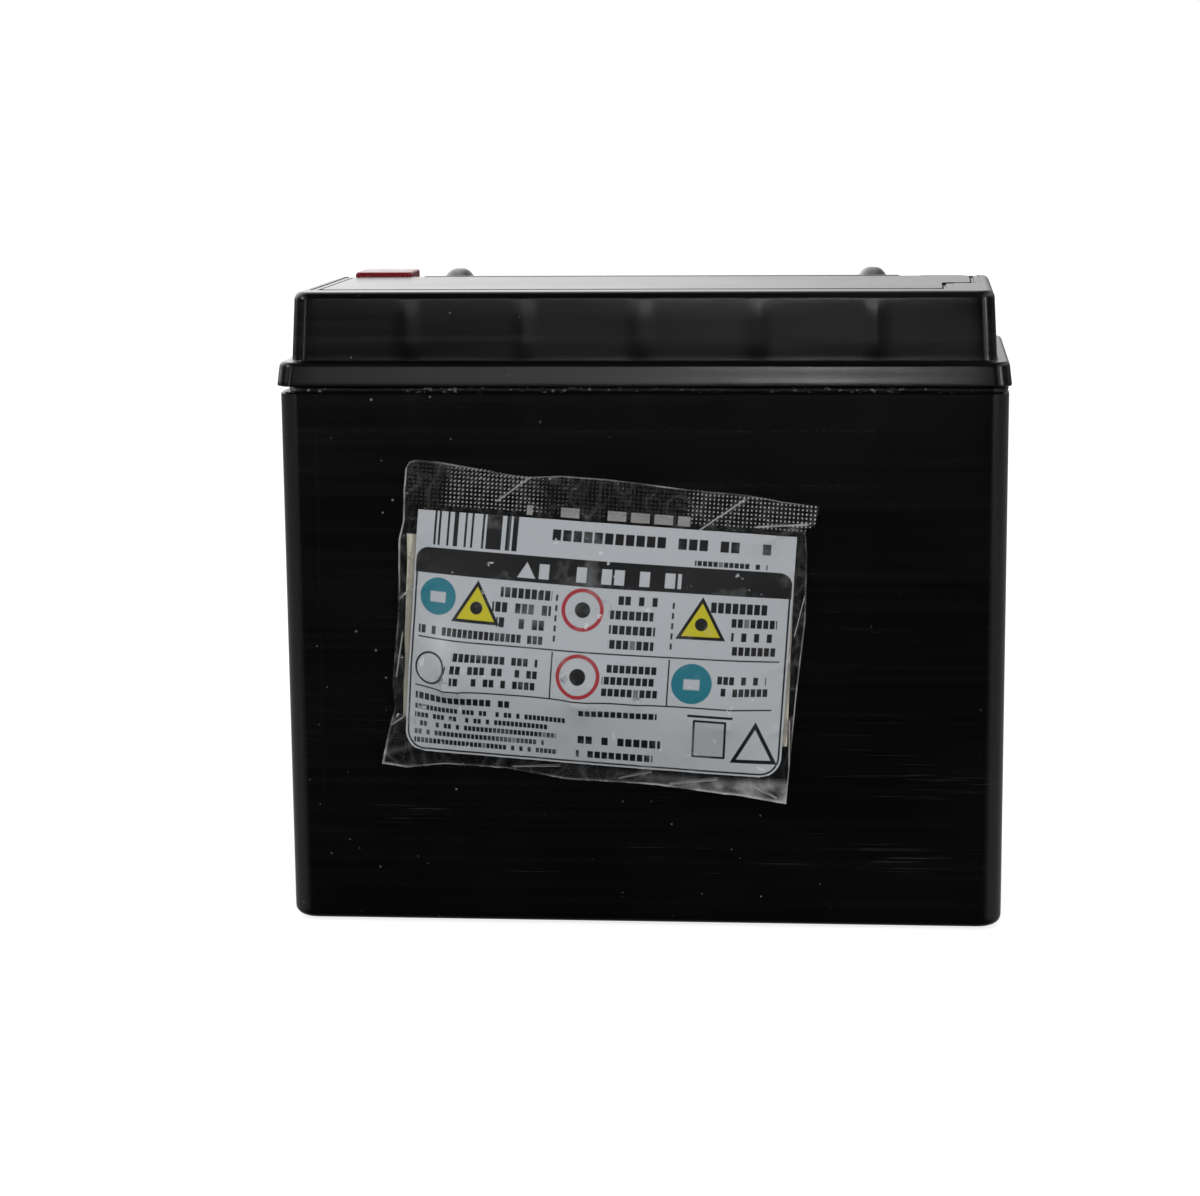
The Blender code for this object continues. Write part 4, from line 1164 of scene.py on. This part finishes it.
class Print:
    """Masks of generic printed shapes, from the print's own coordinates. A shape outside the band is None."""

    def __init__(self, finish, band):
        self.finish = finish
        self.first, self.last = band
        coordinates = finish.add("ShaderNodeUVMap", {}, uv_map="print_mm").outputs[0]
        parts = finish.add("ShaderNodeSeparateXYZ", {"Vector": coordinates})
        self.across = Value(finish.tree, parts.outputs[0])
        self.down = Value(finish.tree, parts.outputs[1])

    def misses(self, top, bottom):
        return bottom < self.first - BAND_OVERLAP or top > self.last + BAND_OVERLAP

    def bar(self, left, right, top, bottom, blur=STROKE):
        if self.misses(top, bottom):
            return None
        wide = self.across.near((left + right) / 2, (right - left) / 2, blur)
        tall = self.down.near((top + bottom) / 2, (bottom - top) / 2, blur)
        return wide * tall

    def distance(self, across, down):
        span = (self.across - across).apply("POWER", 2.0) + (self.down - down).apply("POWER", 2.0)
        return span.apply("SQRT")

    def disc(self, across, down, radius, blur=STROKE):
        if self.misses(down - radius, down + radius):
            return None
        return self.distance(across, down).falls(radius, blur)

    def circle_line(self, across, down, radius, width):
        if self.misses(down - radius, down + radius):
            return None
        return self.distance(across, down).near(radius, width / 2, STROKE)

    def rounded(self, left, right, top, bottom, radius):
        """A rectangle with round corners."""
        sides = []
        for axis, low, high in ((self.across, left, right), (self.down, top, bottom)):
            beyond = (axis - (low + high) / 2).apply("ABSOLUTE") - ((high - low) / 2 - radius)
            sides.append(beyond.most(0.0).apply("POWER", 2.0))
        return (sides[0] + sides[1]).apply("SQRT").falls(radius, STROKE)

    def frame(self, left, right, top, bottom, radius, width):
        """The outline of a rounded rectangle."""
        if self.misses(top, bottom):
            return None
        tight = max(radius - width, 0.05)
        inner = self.rounded(left + width, right - width, top + width, bottom - width, tight)
        return self.rounded(left, right, top, bottom, radius) - inner

    def line(self, start, end, half):
        """A straight stroke that fades at both ends."""
        run = Vector(end) - Vector(start)
        ahead = run.normalized()
        along = (self.across - start[0]) * ahead.x + (self.down - start[1]) * ahead.y
        aside = (self.across - start[0]) * -ahead.y + (self.down - start[1]) * ahead.x
        return aside.apply("ABSOLUTE").falls(half, STROKE) * along.near(run.length / 2, run.length / 2, 1.0)

    def triangle(self, across, top, bottom, half, inset=0.0):
        """An upright triangle, drawn in on every side by inset."""
        if self.misses(top, bottom):
            return None
        slope = half / (bottom - top)
        lean = math.sqrt(1 + slope ** 2)
        sides = (self.across - across).apply("ABSOLUTE") - (self.down - top) * slope
        return sides.falls(-inset * lean, STROKE) * self.down.falls(bottom - inset, STROKE)

    def random(self, cell, seed):
        """A random number from 0 to 1 for each whole number of cell."""
        number = cell.apply("FLOOR") + seed
        node = self.finish.add("ShaderNodeTexWhiteNoise", {"W": number}, noise_dimensions="1D")
        return Value(self.finish.tree, node.outputs["Value"])

    def greeked(self, left, right, top, bottom, lines, letter, seed, weight=0.62, ragged_left=False):
        """Rows of plain blocks, of uneven length and with gaps, in place of lines of words."""
        if self.misses(top, bottom):
            return None
        pitch = (bottom - top) / lines
        line = (self.down - top) * (1.0 / pitch)
        stroke = line.apply("FRACT").near(0.5, weight / 2, STROKE / pitch)
        jitter = self.random(line, seed) * ((right - left) * 0.16)
        if ragged_left:
            inside = (self.across - jitter).rises(left, STROKE) * self.across.falls(right, STROKE)
        else:
            inside = self.across.rises(left, STROKE) * (self.across + jitter).falls(right, STROKE)
        place = self.across * (1.0 / letter) + line.apply("FLOOR") * 7.3
        gap = self.random(place, seed + 31.0).rises(0.15, 0.01)
        block = place.apply("FRACT").near(0.5, 0.40, STROKE / letter)
        rows = self.down.near((top + bottom) / 2, (bottom - top) / 2, STROKE)
        return stroke * inside * gap * block * rows


def clear_film():
    """Thin clear film: see-through and glossy, with painted white highlights where it is folded, knurled or
    cut.
    """
    finish = Finish("clear_film", (0.030, 0.031, 0.032), 0.12, ior=1.7)
    plan = Print(finish, (TOP_EDGE[1][1], 0.0))
    # the painted highlights laid on the film's points: folds, creases, cut edges and the bunched lower right
    folds = Value(finish.tree, finish.add("ShaderNodeAttribute", {}, attribute_name="painted_highlight").outputs["Fac"])
    cloud = finish.noise(120.0, 3.0)
    patch = finish.noise(55.0, 2.0, (1.0, 1.0, 0.4), 6.0).rises(0.50, 0.10)
    crumple = finish.noise(170.0, 3.0, (1.0, 1.0, 0.6), 9.0, 0.6)
    knurl_glints = None
    for axis in (plan.across, plan.down):
        knurl_glint = (axis * (1.0 / KNURL_PITCH)).apply("FRACT").near(0.5, 0.18, 0.14)
        knurl_glints = knurl_glint if knurl_glints is None else knurl_glints * knurl_glint
    # painted glints on the knurling of the seal, in patches
    knurl_glints = knurl_glints * plan.down.falls(BAND_BOTTOM + 0.2, 0.4) * (patch * 0.80 + 0.20)
    ghost = plan.greeked(26.0, 66.0, -3.2, -0.3, 1, 5.6, 33.0, 0.8) * 0.7
    white = folds.most(knurl_glints).most(ghost)
    for start, end, half in GLINT_LINES:
        white = white.most(plan.line(start, end, half) * 0.8)
    # paints the highlights, and the print seen through from behind, in white
    finish.paint((0.60, 0.60, 0.59), white)
    finish.roughen((cloud - 0.5) * 0.2 + 0.13)
    alpha = (cloud - 0.5) * 0.20 + FILM_ALPHA + white * HIGHLIGHT_ALPHA
    connect(finish.tree, alpha.least(0.95), finish.shader.inputs["Alpha"])
    finish.relief(crumple, CRUMPLE_DEPTH)
    finish.relief(finish.noise(520.0, 3.0, seed=7.0), 0.00010)
    return finish.material


def printed_panel(band):
    """One band of a white printed layer: plain blocks for words, and plain coloured shapes. No lettering."""
    finish = Finish("printed_panel", WHITE, 0.42, specular_ior_level=0.6)
    plan = Print(finish, band)
    width, depth = PRINT_SIZE
    black = [plan.greeked(*words[:6], 1.0 + seed, *words[6:]) for seed, words in enumerate(WORDS)]
    black += [plan.bar(*rule) for rule in RULES]
    black += [
        plan.circle_line(*LINE_CIRCLE), plan.frame(*LINE_SQUARE), plan.triangle(*LINE_TRIANGLE),
        plan.frame(BORDER_INSET, width - BORDER_INSET, HEADER[0], depth - BORDER_INSET,
                   PRINT_ROUNDING - 0.4, BORDER_INSET)]
    if band[0] < HEADER[0]:
        header = plan.rounded(0.3, width - 0.3, HEADER[0], 2 * HEADER[1], 3.0)
        black.append(header * plan.down.falls(HEADER[1], STROKE))
        black.append(plan.random(plan.across * 1.9, 40.0).rises(0.46, 0.02) * plan.bar(*STRIPES))
    for across, foot in DASHED_RULES:
        column = plan.bar(across - 0.25, across + 0.25, DASHES_TOP, foot)
        if column:
            black.append(column * (plan.down * 0.42).apply("FRACT").near(0.5, 0.3, 0.1))
    for mask in black:
        finish.paint(INK, mask)
    finish.paint(WHITE, plan.greeked(*HEADER_BLOCKS))
    finish.paint(WHITE, plan.triangle(*HEADER_TRIANGLE))
    finish.paint(WHITE, plan.triangle(*LINE_TRIANGLE, LINE_TRIANGLE_WIDTH))
    for across, down, radius in BLUE_DISCS:
        finish.paint(BLUE, plan.disc(across, down, radius))
        finish.paint(WHITE, plan.bar(across - 1.9, across + 1.9, down - 1.1, down + 1.4, 0.3))
    for across in YELLOW_TRIANGLES:
        finish.paint(INK, plan.triangle(across, *YELLOW_SHAPE))
        finish.paint(YELLOW, plan.triangle(across, *YELLOW_SHAPE, YELLOW_BORDER))
        finish.paint(INK, plan.disc(across, *YELLOW_DOT))
    for down, radius in RED_RINGS:
        finish.paint(RED, plan.circle_line(RING_ACROSS, down, radius, 0.9))
        finish.paint(INK, plan.disc(RING_ACROSS, down, radius * 0.4))
    grit = finish.noise(650.0, 4.0, seed=5.0, rough=0.7)
    for across, down, radius in SCUFFS:
        spot = plan.disc(across, down, radius * 0.6, radius)
        if spot:
            finish.paint((0.10, 0.10, 0.10), spot * grit.rises(0.53, 0.08) * 0.8)
    wear = finish.noise(70.0, 4.0, rough=0.65)
    finish.paint((0.78, 0.79, 0.80), finish.noise(260.0, 4.0, seed=6.0).rises(0.70, 0.03) * 0.7)
    finish.paint((0.42, 0.43, 0.44), wear.rises(0.62, 0.15) * 0.35)
    finish.roughen((wear - 0.5) * 0.3 + 0.40)
    finish.relief(finish.noise(500.0, 3.0, seed=2.0), 0.00003)
    return finish.material


# ---- studio

def studio_world():
    """White to the camera, even light on matt surfaces, and a bright backdrop for glossy ones to mirror."""
    world = bpy.data.worlds.new("studio")
    bpy.context.scene.world = world
    world.use_nodes = True
    tree = world.node_tree
    direction = tree.nodes.new("ShaderNodeSeparateXYZ")
    tree.links.new(tree.nodes.new("ShaderNodeTexCoord").outputs["Generated"], direction.inputs[0])
    across, back, up = (Value(tree, socket) for socket in direction.outputs)
    path = tree.nodes.new("ShaderNodeLightPath")
    seen = Value(tree, path.outputs["Is Camera Ray"])
    matt = Value(tree, path.outputs["Is Diffuse Ray"])
    behind = back.rises(0.25, 0.5)  # 1 where the direction points to behind the battery
    beside = across.apply("ABSOLUTE").rises(0.55, 0.35)
    backdrop = behind * up.rises(0.02, 0.04) * up.falls(0.92, 0.3) * (across.falls(0.0, 0.4) * 1.05 + 0.20)
    sides = beside * up.rises(0.32, 0.30) * up.falls(0.85, 0.4)
    ground = beside.most(behind) * up.falls(-0.08, 0.14) * up.rises(-0.70, 0.80)
    mirrored = backdrop * BACKDROP_LEVEL + sides * SIDES_LEVEL + ground * GROUND_LEVEL + DARKEST_LEVEL
    level = mirrored * (matt * -1.0 + 1.0) + matt * MATT_LEVEL
    level = level * (seen * -1.0 + 1.0) + seen
    tree.links.new(level.socket, tree.nodes["Background"].inputs["Color"])


CARDS = (  # soft lights: name, place, height aimed at, size, watts
    ("front_card", (-0.14, -1.15, 0.290), 0.14, (0.30, 0.06), 0.18),
    ("rim_card", (0.015, -1.15, 0.290), 0.14, (0.05, 0.05), 0.23),
    ("left_strip", (-0.75, -1.15, 0.22), 0.12, (0.05, 0.40), 0.35),
    ("right_strip", (0.85, -1.05, 0.22), 0.12, (0.05, 0.40), 0.35),
    ("top_card", (0.35, -0.55, 0.85), 0.08, (0.5, 0.4), 1.6),
    ("left_lamp", (-1.0, -0.70, 0.55), 0.08, (0.16, 0.16), 1.8),
    ("right_lamp", (1.1, -0.80, 0.30), 0.08, (0.16, 0.16), 1.2))


def add_card(name, place, aim_height, size, power):
    light = bpy.data.lights.new(name, "AREA")
    light.shape = "RECTANGLE"
    light.size, light.size_y = size
    light.energy = power
    item = bpy.data.objects.new(name, light)
    bpy.context.scene.collection.objects.link(item)
    item.location = place
    item.rotation_euler = (Vector((0.0, 0.0, aim_height)) - Vector(place)).to_track_quat("-Z", "Y").to_euler()
    item.visible_camera = False
    return item


def make_floor():
    bm = bmesh.new()
    bmesh.ops.create_grid(bm, x_segments=8, y_segments=8, size=FLOOR_SIZE)
    floor = add_object("floor", bm)
    floor.location.z = -FLOOR_DROP
    finish = Finish("pale_floor", (0.5, 0.5, 0.5), 0.9)
    finish.shader.inputs["Emission Color"].default_value = (1.0, 1.0, 1.0, 1.0)
    finish.shader.inputs["Emission Strength"].default_value = FLOOR_GLOW
    finish.paint((0.46, 0.46, 0.46), finish.noise(3.0, 3.0))
    floor.data.materials.append(finish.material)
    floor.visible_glossy = False
    floor.visible_diffuse = False


def make_studio():
    scene = bpy.context.scene
    scene.view_settings.view_transform = "Standard"
    data = bpy.data.cameras.new("camera")
    data.lens = CAMERA_LENS
    data.sensor_width = SENSOR_WIDTH
    data.shift_x, data.shift_y = CAMERA_SHIFT
    camera = bpy.data.objects.new("camera", data)
    scene.collection.objects.link(camera)
    aim = (Matrix.Rotation(CAMERA_TURN, 4, "Z") @ Matrix.Rotation(math.pi / 2 - CAMERA_DIP, 4, "X")
           @ Matrix.Rotation(CAMERA_ROLL, 4, "Z"))
    camera.matrix_world = Matrix.Translation(CAMERA_PLACE) @ aim
    scene.camera = camera
    studio_world()
    make_floor()
    for name, place, aim_height, size, power in CARDS:
        card = add_card(name, place, aim_height, size, power)
        card.visible_glossy = name != "top_card"


# ---- making

FINISHES = {
    "case": black_moulding("black_case", 0.0026, 0.24, streaked=0.15, scratched=True),
    "lid": black_moulding("black_lid", 0.0034, 0.22),
    "flash": black_moulding("black_flash", 0.0040, 0.30, specked=True),
    "red": red_moulding(),
    "lead": cast_lead(),
    "steel": plated_steel(),
    "red_epoxy": epoxy("red_epoxy", (0.35, 0.02, 0.02)),
    "black_epoxy": epoxy("black_epoxy", (0.012, 0.012, 0.014)),
    "rubber": valve_rubber(),
    "positive_plate": pasted_plate("positive_paste", (0.16, 0.09, 0.06), True),
    "negative_plate": pasted_plate("negative_paste", (0.26, 0.27, 0.28), False),
    "mat": glass_mat(),
    "film": clear_film(),
    "print": [printed_panel(band) for band in zip(BANDS, BANDS[1:])],
    "paper": leaflet_paper(),
    "glue": glue(),
}
NODE_FINISHES = {
    "vent_cover_plate": "lid",
    "valve_cap": "rubber",
    "positive_terminal": "lead",
    "negative_terminal": "lead",
    "positive_terminal_seal": "red_epoxy",
    "negative_terminal_seal": "black_epoxy",
    "positive_plates": "positive_plate",
    "negative_plates": "negative_plate",
    "separator": "mat",
    "intercell_link": "lead",
    "terminal_bolt": "steel",
    "square_nut": "steel",
}


def finish_nodes():
    """Gives each CAD node that stays its own material, by its name without a number."""
    for name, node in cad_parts.items():
        family = name.rstrip("0123456789").rstrip("_")
        if family in NODE_FINISHES:
            for slot in node.material_slots:
                slot.material = FINISHES[NODE_FINISHES[family]]


def main():
    make_studio()
    finish_nodes()
    make_container()
    make_lid()
    make_weld_flash()
    make_positive_cover()
    field = film_field()
    front = make_front_film(field)
    panel = make_print(field)
    back = make_back_film()
    leaflet = make_leaflet()
    make_adhesive()


main()
